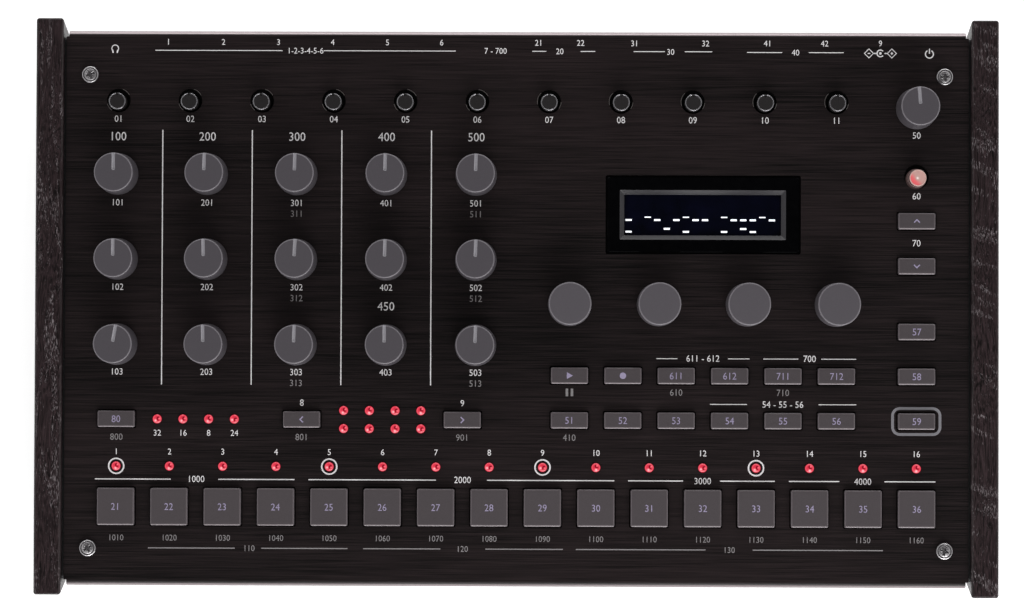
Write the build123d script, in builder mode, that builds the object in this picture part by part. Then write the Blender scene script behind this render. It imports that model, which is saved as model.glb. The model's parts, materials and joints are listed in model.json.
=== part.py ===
from build123d import *
import os
from math import cos, radians, sin, tan

# A desktop drum machine: a folded aluminium cover with knobs, keys, lamps and a display, on a
# moulded lower case between two wooden cheeks. Millimetres and degrees. +X is the player's right,
# +Y the rear and +Z up; the origin is on the table under the middle of the cheeks.
#
# Places on the control panel are (across, up): across from the centre line, up the slope from the
# front fold line. Places on the rear wall are (across, height above the wall's lower edge).
# The controls stand on a grid that fills the panel, and the sockets follow it: places named _column
# and _columns are in steps between the step keys, and those named _row and _rows in steps between
# the two rows of buttons.

# ---------------------------------------------------------------- driving dimensions

# case
slope = 6.5  # tilt of the control panel
fold_lean = 15.0  # each folded wall leans in by this much from square to the panel
overall_width = 328.0
panel_depth = 190.4  # between the two fold lines
rear_height = 46.554  # table to rear fold line
sheet = 1.5  # cover's aluminium
fold_radius = 2.0  # outside radius of the folds
fold_notch = 0.9  # the folded walls are narrower than the panel by this, each side
cheek_thickness = 9.3
cheek_gap = 0.8  # cheek to the cover's edge
cheek_proud = 2.0  # cheek above the panel
cheek_front_lead = 2.15  # cheek beyond the front wall
cheek_rear_lead = 3.05
cheek_round = 0.6
foot_height = 3.0
foot_radius = 7.0
foot_inset = (24.0, 22.0)  # from the base's side and end
base_thickness = 2.5
side_wall = 2.2
lip_height = 2.5  # base's lips inside the folded walls
lip_thickness = 2.0
slip = 0.2  # clearance between fixed pieces

# round pieces and holes repeat by the dozen, so each is drawn with this many flats
large_sides = 20
middle_sides = 16
small_sides = 10
hidden_sides = 8

# grid of the controls
side_margin = 17.75  # outermost columns to the cover's edge
key_count = 16
grid_rows = 12.444  # rows that fill the panel's depth

# screws
screw_side = 8.25  # panel screws to the cover's edge
screw_front = 13.3  # front panel screws to the front fold line
screw_rear = 15.75
screw_head = 5.6
screw_head_height = 1.7
screw_shank = 2.8
screw_length = 8.5
cheek_screw_end = 32.0  # outer cheek screws to the fold lines
cheek_screw_drop = 19.0  # below the panel
lug_size = 9.0
lug_height = 8.0

# step keys and buttons
key_size = 12.7
button_height = 5.6
cap_bevel = 0.3
key_proud = 1.9
button_proud = 1.5
cap_gap = 0.4  # cap to the cover, all round
cap_flange = 1.0  # flange that stops the cap under the cover
flange_reach = 1.0  # flange beyond the hole, all round
flange_rest = 0.05
key_travel = 1.0
stem_size = 2.4
stem_gap = 0.3
stem_bury = 0.8  # stem inside its switch at rest
key_row = 1.798
low_row = 3.745
high_row = 4.74
side_column = (key_count - 1) / 2
side_button_rows = (8.199, 7.196, 5.735, high_row, low_row)
cursor_columns = (-side_column, -4.02, -1.007)

# knobs
knob_columns = 1.684  # between neighbours
knob_rows = 1.895
knob_front_row = 5.407
knob_turns = ((-10, 1, -2, 0, -2), (0, 1, -3.5, -1, -2), (0, -1.5, -1.5, -1, -2))
knob_base_radius = 7.1
knob_taper = 2.5
knob_height = 13.0
knob_air = 0.5  # knob's underside above the panel
knob_bevel = 0.45
groove_width = 1.15
groove_depth = 0.4
groove_start = 0.7  # from the knob's axis
sound_names = (
    "bass_drive_knob",
    "snare_snap_knob",
    "toms_detune_knob",
    "clap_decay_knob",
    "sample_tune_knob",
    "bass_tune_knob",
    "snare_tune_knob",
    "toms_tune_knob",
    "open_hat_decay_knob",
    "sample_decay_knob",
    "bass_decay_knob",
    "snare_decay_knob",
    "toms_decay_knob",
    "closed_hat_decay_knob",
    "sample_attack_knob",
)
volume_row = 10.708
volume_turn = 4.5
shaft_radius = 3.0
shaft_slip = 0.05
shaft_air = 0.4  # shaft to the cover, all round
encoder_row = 6.329
encoder_columns = (1, 2.667, 4.333, 6)
encoder_radius = 7.45
encoder_height = 13.0
encoder_taper = 1.0
level_row = 10.843
level_start_column = -7.49
level_columns = 1.349  # between neighbours
level_count = 11
level_radius = 2.85
level_hole = 4.1
level_height = 4.8
level_notch = 0.5
level_lead = 0.55  # shaft ahead of the middle of its hole
tempo_row = 9.186
tempo_hole = 4.25

# lamps
lamp_radius = 1.5
lamp_hole = 1.65
lamp_proud = 1.0
step_lamp_row = 2.696
lamp_columns = 0.483  # between neighbours in the two small groups
meter_lamp_column = -6.733
page_lamp_column = -3.234
page_lamp_gap = 6.15  # between the two lines of page lamps

# display
display_column = 3.5
display_row = 8.33
display_opening = (66.5, 26.9)
window_size = (53.4, 13.7)
window_bevel = 1.55
bezel_lip = 1.5
bezel_depth = 2.5
glass_thickness = 1.4
glass_margin = 3.0
module_board = 1.2

# boards inside
board_drop = 10.6  # panel's top to the control board's top
board_thickness = 1.6
board_front = 16.5  # control board to the front fold line
board_rear = 18.9
board_side = 7.3  # control board's edge to the cheek's inner face
ledge_thickness = 2.0
ledge_overlap = 2.4
pot_size = (9.8, 11.0, 6.8)
encoder_size = (11.7, 12.0, 6.8)
tact_size = 6.0
tact_height = 3.3
shaft_bury = 5.0  # shaft inside its pot

# rear sockets
jack_start_column = -7.569
jack_columns = 1.0264  # between neighbours
jack_count = 8
jack_body = (12.6, 16.0, 24.0)  # wide, high, deep
jack_bore = 3.25
jack_sleeve = 4.4
jack_nut = 11.0  # across flats
jack_nut_height = 2.0
sleeve_proud = 2.6
socket_slip = 0.15
sync_columns = (0.402, 1.188)
sync_body = (8.4, 11.0, 12.0)
sync_bore = 1.78
sync_sleeve = 2.9
sync_nut = 4.0
sync_nut_height = 1.4
sync_proud = 1.9
midi_columns = (2.2, 3.531)
midi_body = (19.6, 19.5, 14.0)
midi_nose = 8.2
midi_slot = (7.4, 6.1)
midi_slot_depth = 9.0
usb_b_column = 4.697
usb_b_shell = (12.0, 10.8, 16.0)
usb_b_mouth = (8.5, 7.8)
usb_b_tongue = (5.6, 3.2)
usb_b_corner = 1.6
usb_a_column = 5.765
usb_a_shell = (13.2, 6.2, 14.0)
usb_a_mouth = (12.5, 5.2)
usb_a_tongue = (11.1, 1.9)
usb_a_tongue_rise = 1.2
usb_depth = 9.0
dc_column = 6.81
dc_body = (9.0, 11.0, 14.0)
dc_bore = 3.0
dc_pin = 1.0
dc_depth = 9.0
power_column = 7.728
power_body = 8.6
power_radius = 3.6
power_gap = 0.3
power_proud = 2.6
power_travel = 2.0
power_stem = 3.0
power_stem_length = 7.0
jack_board_rise = 3.0  # above the rear wall's lower edge
jack_board_reach = 34.0
rib_thickness = 3.0
rib_columns = 2.53  # between neighbours
rib_count = 7

# ---------------------------------------------------------------- shared geometry

cheek_inner = overall_width / 2 - cheek_thickness
cover_half = cheek_inner - cheek_gap
side_inner = cheek_inner - side_wall
base_top = foot_height + base_thickness
cover_edge = base_top + slip
front_lean = fold_lean + slope
rear_lean = fold_lean - slope
slope_cos = cos(radians(slope))
slope_sin = sin(radians(slope))
lean_cos = cos(radians(fold_lean))
lean_tan = tan(radians(fold_lean))
front_height = rear_height - panel_depth * slope_sin  # table to front fold line


def lead_up(lead, rise):
    """How far a wall, lead outside the folded one, is beyond the fold line at this rise."""
    return lead / lean_cos + rise * lean_tan


# the origin is midway between the tops of the cheeks' ends
cheek_middle = (
    panel_depth + lead_up(cheek_rear_lead, cheek_proud) - lead_up(cheek_front_lead, cheek_proud)
) / 2
fold_y = -(cheek_middle * slope_cos - cheek_proud * slope_sin)
panel = Plane(
    origin=(0, fold_y, front_height), x_dir=(1, 0, 0), z_dir=(0, -slope_sin, slope_cos)
)


def side_point(up, rise):
    """(y, z) of a point of the side view, given up the panel and square to it."""
    return (
        fold_y + up * slope_cos - rise * slope_sin,
        front_height + up * slope_sin + rise * slope_cos,
    )


def case_outline(rise, front, rear, bottom):
    """Side view corners: top at this rise, ends this far outside the folded walls, flat bottom."""
    front_top = side_point(-lead_up(front, rise), rise)
    rear_top = side_point(panel_depth + lead_up(rear, rise), rise)
    front_shift = (front_top[1] - bottom) * tan(radians(front_lean))
    rear_shift = (rear_top[1] - bottom) * tan(radians(rear_lean))
    return (
        (front_top[0] + front_shift, bottom),
        front_top,
        rear_top,
        (rear_top[0] - rear_shift, bottom),
    )


rear_foot = case_outline(0, 0, 0, base_top)[3]
rear_wall = Plane(
    origin=(0, *rear_foot),
    x_dir=(-1, 0, 0),
    z_dir=(0, cos(radians(rear_lean)), -sin(radians(rear_lean))),
)
behind_wall = rear_wall.offset(-sheet)  # rear wall's inner face
board_level = jack_board_rise + board_thickness  # jack board's upper face


def on_rear(across, height):
    """A spot of the rear wall's plane, whose own x runs the other way."""
    return (-across, height)


def seat_at(place, turn=0):
    """Panel plane moved to a spot and turned about its own normal."""
    turned_x = panel.x_dir.rotate(Axis(panel.origin, panel.z_dir), turn)
    return Plane(origin=panel.from_local_coords((*place, 0)), x_dir=turned_x, z_dir=panel.z_dir)


side_across = cover_half - side_margin
key_pitch = side_across / side_column
row_pitch = panel_depth / grid_rows


def spot(column, row):
    return (column * key_pitch, row * row_pitch)


def steps(first, step, count):
    return [first + i * step for i in range(count)]


key_spots = [spot(column, key_row) for column in steps(-side_column, 1, key_count)]
button_grid = {"transport_buttons": (1, 2), "pattern_buttons": (3, 4), "kit_buttons": (5, 6)}
button_banks = {
    name: [spot(column, row) for row in (high_row, low_row) for column in columns]
    for name, columns in button_grid.items()
}
button_banks["cursor_buttons"] = [spot(column, low_row) for column in cursor_columns]
button_banks["side_buttons"] = [spot(side_column, row) for row in side_button_rows]
button_spots = [place for places in button_banks.values() for place in places]
sound_spots = [
    spot(-side_column + column * knob_columns, knob_front_row + line * knob_rows)
    for line in range(len(knob_turns))
    for column in range(len(knob_turns[line]))
]
volume_spot = spot(side_column, volume_row)
tempo_hole_spot = spot(side_column, tempo_row)
encoder_spots = [spot(column, encoder_row) for column in encoder_columns]
level_hole_spots = [
    spot(column, level_row) for column in steps(level_start_column, level_columns, level_count)
]
level_spots = [(across, along - level_lead) for across, along in level_hole_spots]
tempo_spot = (tempo_hole_spot[0], tempo_hole_spot[1] - level_lead)
display_centre = spot(display_column, display_row)
lamp_spots = [spot(column, step_lamp_row) for column in steps(-side_column, 1, key_count)]
lamp_spots += [spot(column, low_row) for column in steps(meter_lamp_column, lamp_columns, 4)]
page_spots = [spot(column, low_row) for column in steps(page_lamp_column, lamp_columns, 4)]
lamp_spots += [
    (across, up + side * page_lamp_gap / 2) for side in (-1, 1) for across, up in page_spots
]
panel_screw_spots = [
    (side * (cover_half - screw_side), up)
    for side in (-1, 1)
    for up in (screw_front, panel_depth - screw_rear)
]
cheek_screw_ups = (cheek_screw_end, panel_depth / 2, panel_depth - cheek_screw_end)
board_middle = (board_front + panel_depth - board_rear) / 2
board_depth = panel_depth - board_front - board_rear
jack_steps = steps(jack_start_column, jack_columns, jack_count)
jack_acrosses = [column * key_pitch for column in jack_steps]
sync_acrosses = [column * key_pitch for column in sync_columns]
midi_acrosses = [column * key_pitch for column in midi_columns]
usb_b_across = usb_b_column * key_pitch
usb_a_across = usb_a_column * key_pitch
dc_across = dc_column * key_pitch
power_across = power_column * key_pitch
jack_axis = board_level + jack_body[1] / 2
sync_axis = board_level + sync_body[1] / 2
midi_axis = board_level + midi_body[1] / 2
usb_b_axis = board_level + usb_b_shell[1] / 2
usb_a_axis = board_level + usb_a_shell[1] / 2
dc_axis = board_level + dc_body[1] / 2
power_axis = board_level + power_body / 2

os.makedirs("parts", exist_ok=True)


def save(name, built):
    built.part.label = name
    export_step(built.part, f"parts/{name}.step")


# ---------------------------------------------------------------- cover

with BuildPart() as top_panel:
    with BuildSketch(Plane.YZ) as folded:
        with BuildLine() as skin:
            FilletPolyline(*case_outline(0, 0, 0, cover_edge), radius=fold_radius)
            offset(amount=sheet, side=Side.RIGHT)
        make_face()
    extrude(amount=cover_half - fold_notch, both=True)
    fold_setback = fold_radius * tan(radians((90 + fold_lean) / 2))
    with BuildSketch(panel) as flat_part:
        with Locations((0, panel_depth / 2)):
            Rectangle(2 * cover_half, panel_depth - 2 * fold_setback)
    extrude(amount=-sheet)
    with BuildSketch(panel) as control_holes:
        with Locations(*key_spots):
            Rectangle(key_size + 2 * cap_gap, key_size + 2 * cap_gap)
        with Locations(*button_spots):
            Rectangle(key_size + 2 * cap_gap, button_height + 2 * cap_gap)
        with Locations(*sound_spots, volume_spot, *encoder_spots):
            RegularPolygon(shaft_radius + shaft_air, hidden_sides)
        with Locations(*level_hole_spots):
            RegularPolygon(level_hole, middle_sides)
        with Locations(tempo_hole_spot):
            RegularPolygon(tempo_hole, middle_sides)
        with Locations(*lamp_spots):
            RegularPolygon(lamp_hole, small_sides)
        with Locations(*panel_screw_spots):
            RegularPolygon(screw_shank / 2 + slip, hidden_sides)
        with Locations(display_centre):
            Rectangle(*display_opening)
    extrude(amount=-2 * sheet, mode=Mode.SUBTRACT)
    with BuildSketch(rear_wall) as socket_holes:
        with Locations(*[on_rear(across, jack_axis) for across in jack_acrosses]):
            RegularPolygon(jack_sleeve + socket_slip, middle_sides)
        with Locations(*[on_rear(across, sync_axis) for across in sync_acrosses]):
            RegularPolygon(sync_sleeve + socket_slip, middle_sides)
        with Locations(*[on_rear(across, midi_axis) for across in midi_acrosses]):
            RegularPolygon(midi_nose + socket_slip, large_sides)
        with Locations(on_rear(usb_b_across, usb_b_axis)):
            Rectangle(usb_b_shell[0] + 2 * socket_slip, usb_b_shell[1] + 2 * socket_slip)
        with Locations(on_rear(usb_a_across, usb_a_axis)):
            Rectangle(usb_a_shell[0] + 2 * socket_slip, usb_a_shell[1] + 2 * socket_slip)
        with Locations(on_rear(dc_across, dc_axis)):
            RegularPolygon(dc_body[0] / 2 - socket_slip, middle_sides)
        with Locations(on_rear(power_across, power_axis)):
            RegularPolygon(power_radius + power_gap, middle_sides)
    extrude(amount=-2 * sheet, mode=Mode.SUBTRACT)
save("top_panel", top_panel)

# ---------------------------------------------------------------- lower case and cheeks

inner = sheet + slip  # base's walls stand this far inside the cover's outer faces
with BuildPart() as lower_case:
    base_corners = case_outline(0, 0, 0, base_top)
    base_front, base_rear = base_corners[0][0], base_corners[3][0]
    with BuildSketch(Plane.XY.offset(foot_height)) as base:
        with Locations((0, (base_front + base_rear) / 2)):
            Rectangle(2 * cheek_inner, base_rear - base_front)
    extrude(amount=base_thickness)
    with BuildSketch(Plane.YZ.offset(side_inner)) as side:
        with BuildLine():
            shell = case_outline(-sheet, -inner, -inner, base_top)
            walls = FilletPolyline(*shell, radius=fold_radius - 2 * slip)
            Line(walls @ 1, walls @ 0)
        make_face()
    extrude(amount=side_wall)
    mirror(about=Plane.YZ)
    with BuildSketch(Plane.YZ) as lips:
        lip_top = base_top + lip_height
        wide = case_outline(0, -inner, -inner, base_top)
        narrow = case_outline(0, -inner - lip_thickness, -inner - lip_thickness, base_top)
        wide_top = case_outline(0, -inner, -inner, lip_top)
        narrow_top = case_outline(0, -inner - lip_thickness, -inner - lip_thickness, lip_top)
        for end in (0, 3):
            with BuildLine():
                Polyline(wide[end], wide_top[end], narrow_top[end], narrow[end], close=True)
            make_face()
    extrude(amount=side_inner, both=True)
    # lugs for the panel screws, moulded to the side walls
    with BuildSketch(panel.offset(-sheet)) as lugs:
        for across, up in panel_screw_spots:
            lug_inner = abs(across) - lug_size / 2
            with Locations(((across > 0 or -1) * (side_inner + lug_inner) / 2, up)):
                Rectangle(side_inner - lug_inner, lug_size)
    extrude(amount=-lug_height)
    with BuildSketch(panel.offset(-sheet)) as lug_holes:
        with Locations(*panel_screw_spots):
            RegularPolygon(screw_shank / 2 + shaft_slip, hidden_sides)
    extrude(amount=-lug_height, mode=Mode.SUBTRACT)
    # ledges that carry the control board
    with BuildSketch(panel.offset(-board_drop - board_thickness)) as ledges:
        for hand in (-1, 1):
            ledge_width = board_side - side_wall + ledge_overlap
            with Locations((hand * (side_inner - ledge_width / 2), board_middle)):
                Rectangle(ledge_width, board_depth)
    extrude(amount=-ledge_thickness)
    # ribs that carry the jack board, with its lean on their tops
    rib_rear, rib_front = [
        rear_wall.from_local_coords((0, jack_board_rise, -reach))
        for reach in (sheet + lip_thickness + board_thickness, jack_board_reach - board_thickness)
    ]
    rib_pitch = rib_columns * key_pitch
    for across in steps(-rib_pitch * (rib_count - 1) / 2, rib_pitch, rib_count):
        with BuildSketch(Plane.YZ.offset(across - rib_thickness / 2)):
            with BuildLine():
                Polyline(
                    (rib_rear.Y, base_top),
                    (rib_rear.Y, rib_rear.Z),
                    (rib_front.Y, rib_front.Z),
                    (rib_front.Y, base_top),
                    close=True,
                )
            make_face()
        extrude(amount=rib_thickness)
    # holes for the cheek screws
    for up in cheek_screw_ups:
        y, z = side_point(up, -cheek_screw_drop)
        with BuildSketch(Plane.YZ.offset(side_inner)):
            with Locations((y, z)):
                RegularPolygon(screw_shank / 2 + slip, hidden_sides)
        extrude(amount=side_wall, mode=Mode.SUBTRACT)
        with BuildSketch(Plane.YZ.offset(-cheek_inner)):
            with Locations((y, z)):
                RegularPolygon(screw_shank / 2 + slip, hidden_sides)
        extrude(amount=side_wall, mode=Mode.SUBTRACT)
save("lower_case", lower_case)


def cheek(inner_face, outward):
    """Wooden cheek that stands on its inner face; outward is 1 for the right one, else -1."""
    with BuildPart() as built:
        with BuildSketch(Plane.YZ.offset(inner_face)):
            with BuildLine():
                Polyline(
                    *case_outline(cheek_proud, cheek_front_lead, cheek_rear_lead, foot_height),
                    close=True,
                )
            make_face()
        extrude(amount=outward * cheek_thickness)
        chamfer(built.edges(), cheek_round)
        with BuildSketch(Plane.YZ.offset(inner_face)):
            with Locations(*[side_point(up, -cheek_screw_drop) for up in cheek_screw_ups]):
                RegularPolygon(screw_shank / 2 + shaft_slip, hidden_sides)
        extrude(amount=outward * (screw_length - side_wall + slip), mode=Mode.SUBTRACT)
    return built


save("left_cheek", cheek(-cheek_inner, -1))
save("right_cheek", cheek(cheek_inner, 1))


def pan_head_screws(seats):
    """Pan head screws: heads on the seats' planes, shanks against their normals."""
    with BuildPart() as built:
        for seat in seats:
            with BuildSketch(seat):
                RegularPolygon(screw_head / 2, middle_sides)
            extrude(amount=screw_head_height)
            crown = built.faces().sort_by_distance(seat.origin + seat.z_dir * screw_head_height)[0]
            chamfer(crown.edges(), screw_head_height / 2)
            with BuildSketch(seat):
                RegularPolygon(screw_shank / 2, hidden_sides)
            extrude(amount=-screw_length)
    return built


cheek_screw_seats = [
    Plane(
        origin=(hand * side_inner, *side_point(up, -cheek_screw_drop)),
        x_dir=(0, 1, 0),
        z_dir=(-hand, 0, 0),
    )
    for hand in (-1, 1)
    for up in cheek_screw_ups
]
panel_screw_seats = [seat_at(place) for place in panel_screw_spots]
save("case_screws", pan_head_screws(panel_screw_seats + cheek_screw_seats))

with BuildPart() as rubber_feet:
    feet_across = cheek_inner - foot_inset[0]
    with BuildSketch(Plane.XY.offset(foot_height)):
        with Locations(*[
            (hand * feet_across, up)
            for hand in (-1, 1)
            for up in (base_front + foot_inset[1], base_rear - foot_inset[1])
        ]):
            RegularPolygon(foot_radius, middle_sides)
    extrude(amount=-foot_height, taper=10)
save("rubber_feet", rubber_feet)

# ---------------------------------------------------------------- display

with BuildPart() as display_bezel:
    bezel_size = [size - 2 * slip for size in display_opening]
    with BuildSketch(panel):
        with Locations(display_centre):
            Rectangle(*bezel_size)
    extrude(amount=-bezel_depth)
    with BuildSketch(panel.offset(-sheet)):
        with Locations(display_centre):
            Rectangle(display_opening[0] + 2 * bezel_lip, display_opening[1] + 2 * bezel_lip)
    extrude(amount=sheet - bezel_depth)
    with BuildSketch(panel):
        with Locations(display_centre):
            Rectangle(window_size[0] + 2 * window_bevel, window_size[1] + 2 * window_bevel)
    extrude(amount=-window_bevel, taper=45, mode=Mode.SUBTRACT)
    with BuildSketch(panel):
        with Locations(display_centre):
            Rectangle(*window_size)
    extrude(amount=-bezel_depth, mode=Mode.SUBTRACT)
save("display_bezel", display_bezel)

with BuildPart() as display_module:
    with BuildSketch(panel.offset(-bezel_depth)):
        with Locations(display_centre):
            Rectangle(window_size[0] + 2 * glass_margin, window_size[1] + 2 * glass_margin)
    extrude(amount=-glass_thickness)
    with BuildSketch(panel.offset(-bezel_depth - glass_thickness)):
        with Locations(display_centre):
            Rectangle(*display_opening)
    extrude(amount=-module_board)
    post_spread = [size - 2 * glass_margin for size in display_opening]
    with BuildSketch(panel.offset(-bezel_depth - glass_thickness - module_board)):
        with Locations(display_centre):
            with GridLocations(*post_spread, 2, 2):
                Rectangle(glass_margin, glass_margin)
    extrude(amount=-(board_drop - bezel_depth - glass_thickness - module_board))
save("display_module", display_module)

# ---------------------------------------------------------------- knobs


shaft_end = board_drop - pot_size[2] + shaft_bury  # below the panel


def cap_and_shaft(seat, radius, height, taper):
    """Knob's cap over the panel, and the pot's shaft that it is pressed on."""
    with BuildPart() as built:
        with BuildSketch(seat.offset(knob_air)):
            RegularPolygon(radius, large_sides)
        extrude(amount=height - knob_air, taper=taper)
        rim = built.faces().sort_by(Axis(seat.origin, seat.z_dir))[-1]
        chamfer(rim.edges(), knob_bevel)
        with BuildSketch(seat.offset(-shaft_end)):
            RegularPolygon(shaft_radius, hidden_sides)
        extrude(amount=shaft_end + knob_air)
    return built


def pointer_knob(place, turn):
    """Tapered knob with a pointer groove from near its axis out through its rim."""
    seat = seat_at(place, turn)
    with BuildPart() as built:
        add(cap_and_shaft(seat, knob_base_radius, knob_height, knob_taper))
        with BuildSketch(seat.offset(knob_height)):
            with Locations((0, groove_start)):
                Rectangle(groove_width, knob_base_radius, align=(Align.CENTER, Align.MIN))
        extrude(amount=-groove_depth, mode=Mode.SUBTRACT)
    return built


def level_knob(place):
    """Slim knob that is one piece with its shaft and stands in a wide hole of the cover."""
    seat = seat_at(place)
    with BuildPart() as built:
        with BuildSketch(seat.offset(-shaft_end)):
            RegularPolygon(level_radius, middle_sides)
        extrude(amount=shaft_end + level_height)
        rim = built.faces().sort_by(Axis(seat.origin, seat.z_dir))[-1]
        chamfer(rim.edges(), cap_bevel)
        with BuildSketch(seat.offset(level_height)):
            with Locations((0, level_radius)):
                Rectangle(level_notch, 2 * level_notch)
        extrude(amount=-level_notch, mode=Mode.SUBTRACT)
    return built


turns = [turn for line in knob_turns for turn in line]
for name, place, turn in zip(sound_names, sound_spots, turns):
    save(name, pointer_knob(place, turn))
save("volume_knob", pointer_knob(volume_spot, volume_turn))
for number, place in enumerate(encoder_spots, start=1):
    knob = cap_and_shaft(seat_at(place), encoder_radius, encoder_height, encoder_taper)
    save(f"encoder_knob_{number}", knob)
for number, place in enumerate(level_spots, start=1):
    save(f"level_knob_{number:02d}", level_knob(place))
save("tempo_knob", level_knob(tempo_spot))

# ---------------------------------------------------------------- keys and buttons

flange_top = sheet + flange_rest
stem_end = board_drop - tact_height + stem_bury  # below the panel


def cap_bank(spots, height, proud):
    """Caps of one bank: each has a cap, a flange under the cover and a stem into its switch."""
    with BuildPart() as built:
        with BuildSketch(panel.offset(-flange_top)):
            reach = 2 * (cap_gap + flange_reach)
            with Locations(*spots):
                Rectangle(key_size + reach, height + reach)
        extrude(amount=-cap_flange)
        with BuildSketch(panel.offset(-flange_top)):
            with Locations(*spots):
                Rectangle(key_size, height)
        extrude(amount=flange_top + proud)
        tops = built.faces().group_by(Axis(panel.origin, panel.z_dir))[-1]
        chamfer(tops.edges(), cap_bevel)
        with BuildSketch(panel.offset(-flange_top - cap_flange)):
            with Locations(*spots):
                Rectangle(stem_size, stem_size)
        extrude(amount=flange_top + cap_flange - stem_end)
    return built


for first in range(0, len(key_spots), 4):
    keys = cap_bank(key_spots[first : first + 4], key_size, key_proud)
    save(f"step_keys_{first + 1}_{first + 4}", keys)
for name, spots in button_banks.items():
    save(name, cap_bank(spots, button_height, button_proud))

with BuildPart() as power_button:
    with BuildSketch(rear_wall.offset(power_proud)):
        with Locations(on_rear(power_across, power_axis)):
            RegularPolygon(power_radius, middle_sides)
    extrude(amount=-power_proud - 2 * sheet)
    rim = power_button.faces().sort_by(Axis(rear_wall.origin, rear_wall.z_dir))[-1]
    chamfer(rim.edges(), cap_bevel)
    with BuildSketch(rear_wall.offset(-2 * sheet)):
        with Locations(on_rear(power_across, power_axis)):
            Rectangle(power_stem, power_stem)
    extrude(amount=-power_stem_length)
save("power_button", power_button)

# ---------------------------------------------------------------- boards and what they carry

board_half = cheek_inner - board_side
with BuildPart() as panel_board:
    with BuildSketch(panel.offset(-board_drop)):
        with Locations((0, board_middle)):
            Rectangle(2 * board_half, board_depth)
    extrude(amount=-board_thickness)
save("panel_board", panel_board)

with BuildPart() as pot_bodies:
    for spots, size, shaft, sides in (
        (sound_spots + [volume_spot], pot_size, shaft_radius, hidden_sides),
        (level_spots + [tempo_spot], pot_size, level_radius, middle_sides),
        (encoder_spots, encoder_size, shaft_radius, hidden_sides),
    ):
        with BuildSketch(panel.offset(-board_drop)):
            with Locations(*spots):
                Rectangle(size[0], size[1])
        extrude(amount=size[2])
        with BuildSketch(panel.offset(size[2] - board_drop)):
            with Locations(*spots):
                RegularPolygon(shaft + shaft_slip, sides, major_radius=False)
        extrude(amount=-shaft_bury - shaft_slip, mode=Mode.SUBTRACT)
save("pot_bodies", pot_bodies)

with BuildPart() as push_switches:
    with BuildSketch(panel.offset(-board_drop)):
        with Locations(*key_spots, *button_spots):
            Rectangle(tact_size, tact_size)
    extrude(amount=tact_height)
    with BuildSketch(panel.offset(tact_height - board_drop)):
        with Locations(*key_spots, *button_spots):
            Rectangle(stem_size + 2 * stem_gap, stem_size + 2 * stem_gap)
    extrude(amount=-stem_bury - key_travel - stem_gap, mode=Mode.SUBTRACT)
    power_front = rear_wall.offset(-2 * sheet - power_travel - stem_gap)
    with BuildSketch(power_front):
        with Locations(on_rear(power_across, power_axis)):
            Rectangle(power_body, power_body)
    extrude(amount=-power_stem_length - power_travel)
    with BuildSketch(power_front):
        with Locations(on_rear(power_across, power_axis)):
            Rectangle(power_stem + 2 * stem_gap, power_stem + 2 * stem_gap)
    extrude(amount=-power_stem_length, mode=Mode.SUBTRACT)
save("push_switches", push_switches)

with BuildPart() as indicator_lamps:
    with BuildSketch(panel.offset(-board_drop)):
        with Locations(*lamp_spots):
            RegularPolygon(lamp_radius, small_sides)
    extrude(amount=board_drop + lamp_proud)
save("indicator_lamps", indicator_lamps)

with BuildPart() as jack_board:
    with BuildSketch(rear_wall.offset(-sheet - slip)):
        with Locations((0, jack_board_rise + board_thickness / 2)):
            Rectangle(2 * board_half, board_thickness)
    extrude(amount=sheet + slip - jack_board_reach)
save("jack_board", jack_board)

# ---------------------------------------------------------------- rear sockets


def socket_block(spots, size):
    """Socket bodies that stand on the jack board with their faces against the rear wall."""
    with BuildSketch(behind_wall) as fronts:
        with Locations(*spots):
            Rectangle(size[0], size[1])
    extrude(fronts.sketch, amount=-size[2])


def threaded_socket(acrosses, axis, size, bore, sleeve, proud):
    """Sockets with a sleeve through the rear wall and a plug's bore down the middle."""
    spots = [on_rear(across, axis) for across in acrosses]
    socket_block(spots, size)
    with BuildSketch(behind_wall) as sleeves:
        with Locations(*spots):
            RegularPolygon(sleeve, middle_sides)
    extrude(sleeves.sketch, amount=sheet + proud)
    return spots


with BuildPart() as phone_jacks:
    phone_spots = threaded_socket(
        jack_acrosses, jack_axis, jack_body, jack_bore, jack_sleeve, sleeve_proud
    )
    with BuildSketch(rear_wall):
        with Locations(*phone_spots):
            RegularPolygon(jack_nut / 2, 6, major_radius=False)
    extrude(amount=jack_nut_height)
    with BuildSketch(rear_wall.offset(sleeve_proud)):
        with Locations(*phone_spots):
            RegularPolygon(jack_bore, middle_sides)
    extrude(amount=-sleeve_proud - jack_body[2], mode=Mode.SUBTRACT)
save("phone_jacks", phone_jacks)

with BuildPart() as sync_jacks:
    sync_spots = threaded_socket(
        sync_acrosses, sync_axis, sync_body, sync_bore, sync_sleeve, sync_proud
    )
    with BuildSketch(rear_wall):
        with Locations(*sync_spots):
            RegularPolygon(sync_nut, middle_sides)
    extrude(amount=sync_nut_height)
    with BuildSketch(rear_wall.offset(sync_proud)):
        with Locations(*sync_spots):
            RegularPolygon(sync_bore, middle_sides)
    extrude(amount=-sync_proud - sync_body[2], mode=Mode.SUBTRACT)
save("sync_jacks", sync_jacks)

with BuildPart() as midi_sockets:
    midi_spots = [on_rear(across, midi_axis) for across in midi_acrosses]
    socket_block(midi_spots, midi_body)
    with BuildSketch(behind_wall):
        with Locations(*midi_spots):
            RegularPolygon(midi_nose, large_sides)
    extrude(amount=sheet)
    with BuildSketch(rear_wall):
        with Locations(*midi_spots):
            RegularPolygon(midi_slot[0], large_sides)
            RegularPolygon(midi_slot[1], large_sides, mode=Mode.SUBTRACT)
    extrude(amount=-midi_slot_depth, mode=Mode.SUBTRACT)
save("midi_sockets", midi_sockets)

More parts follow.
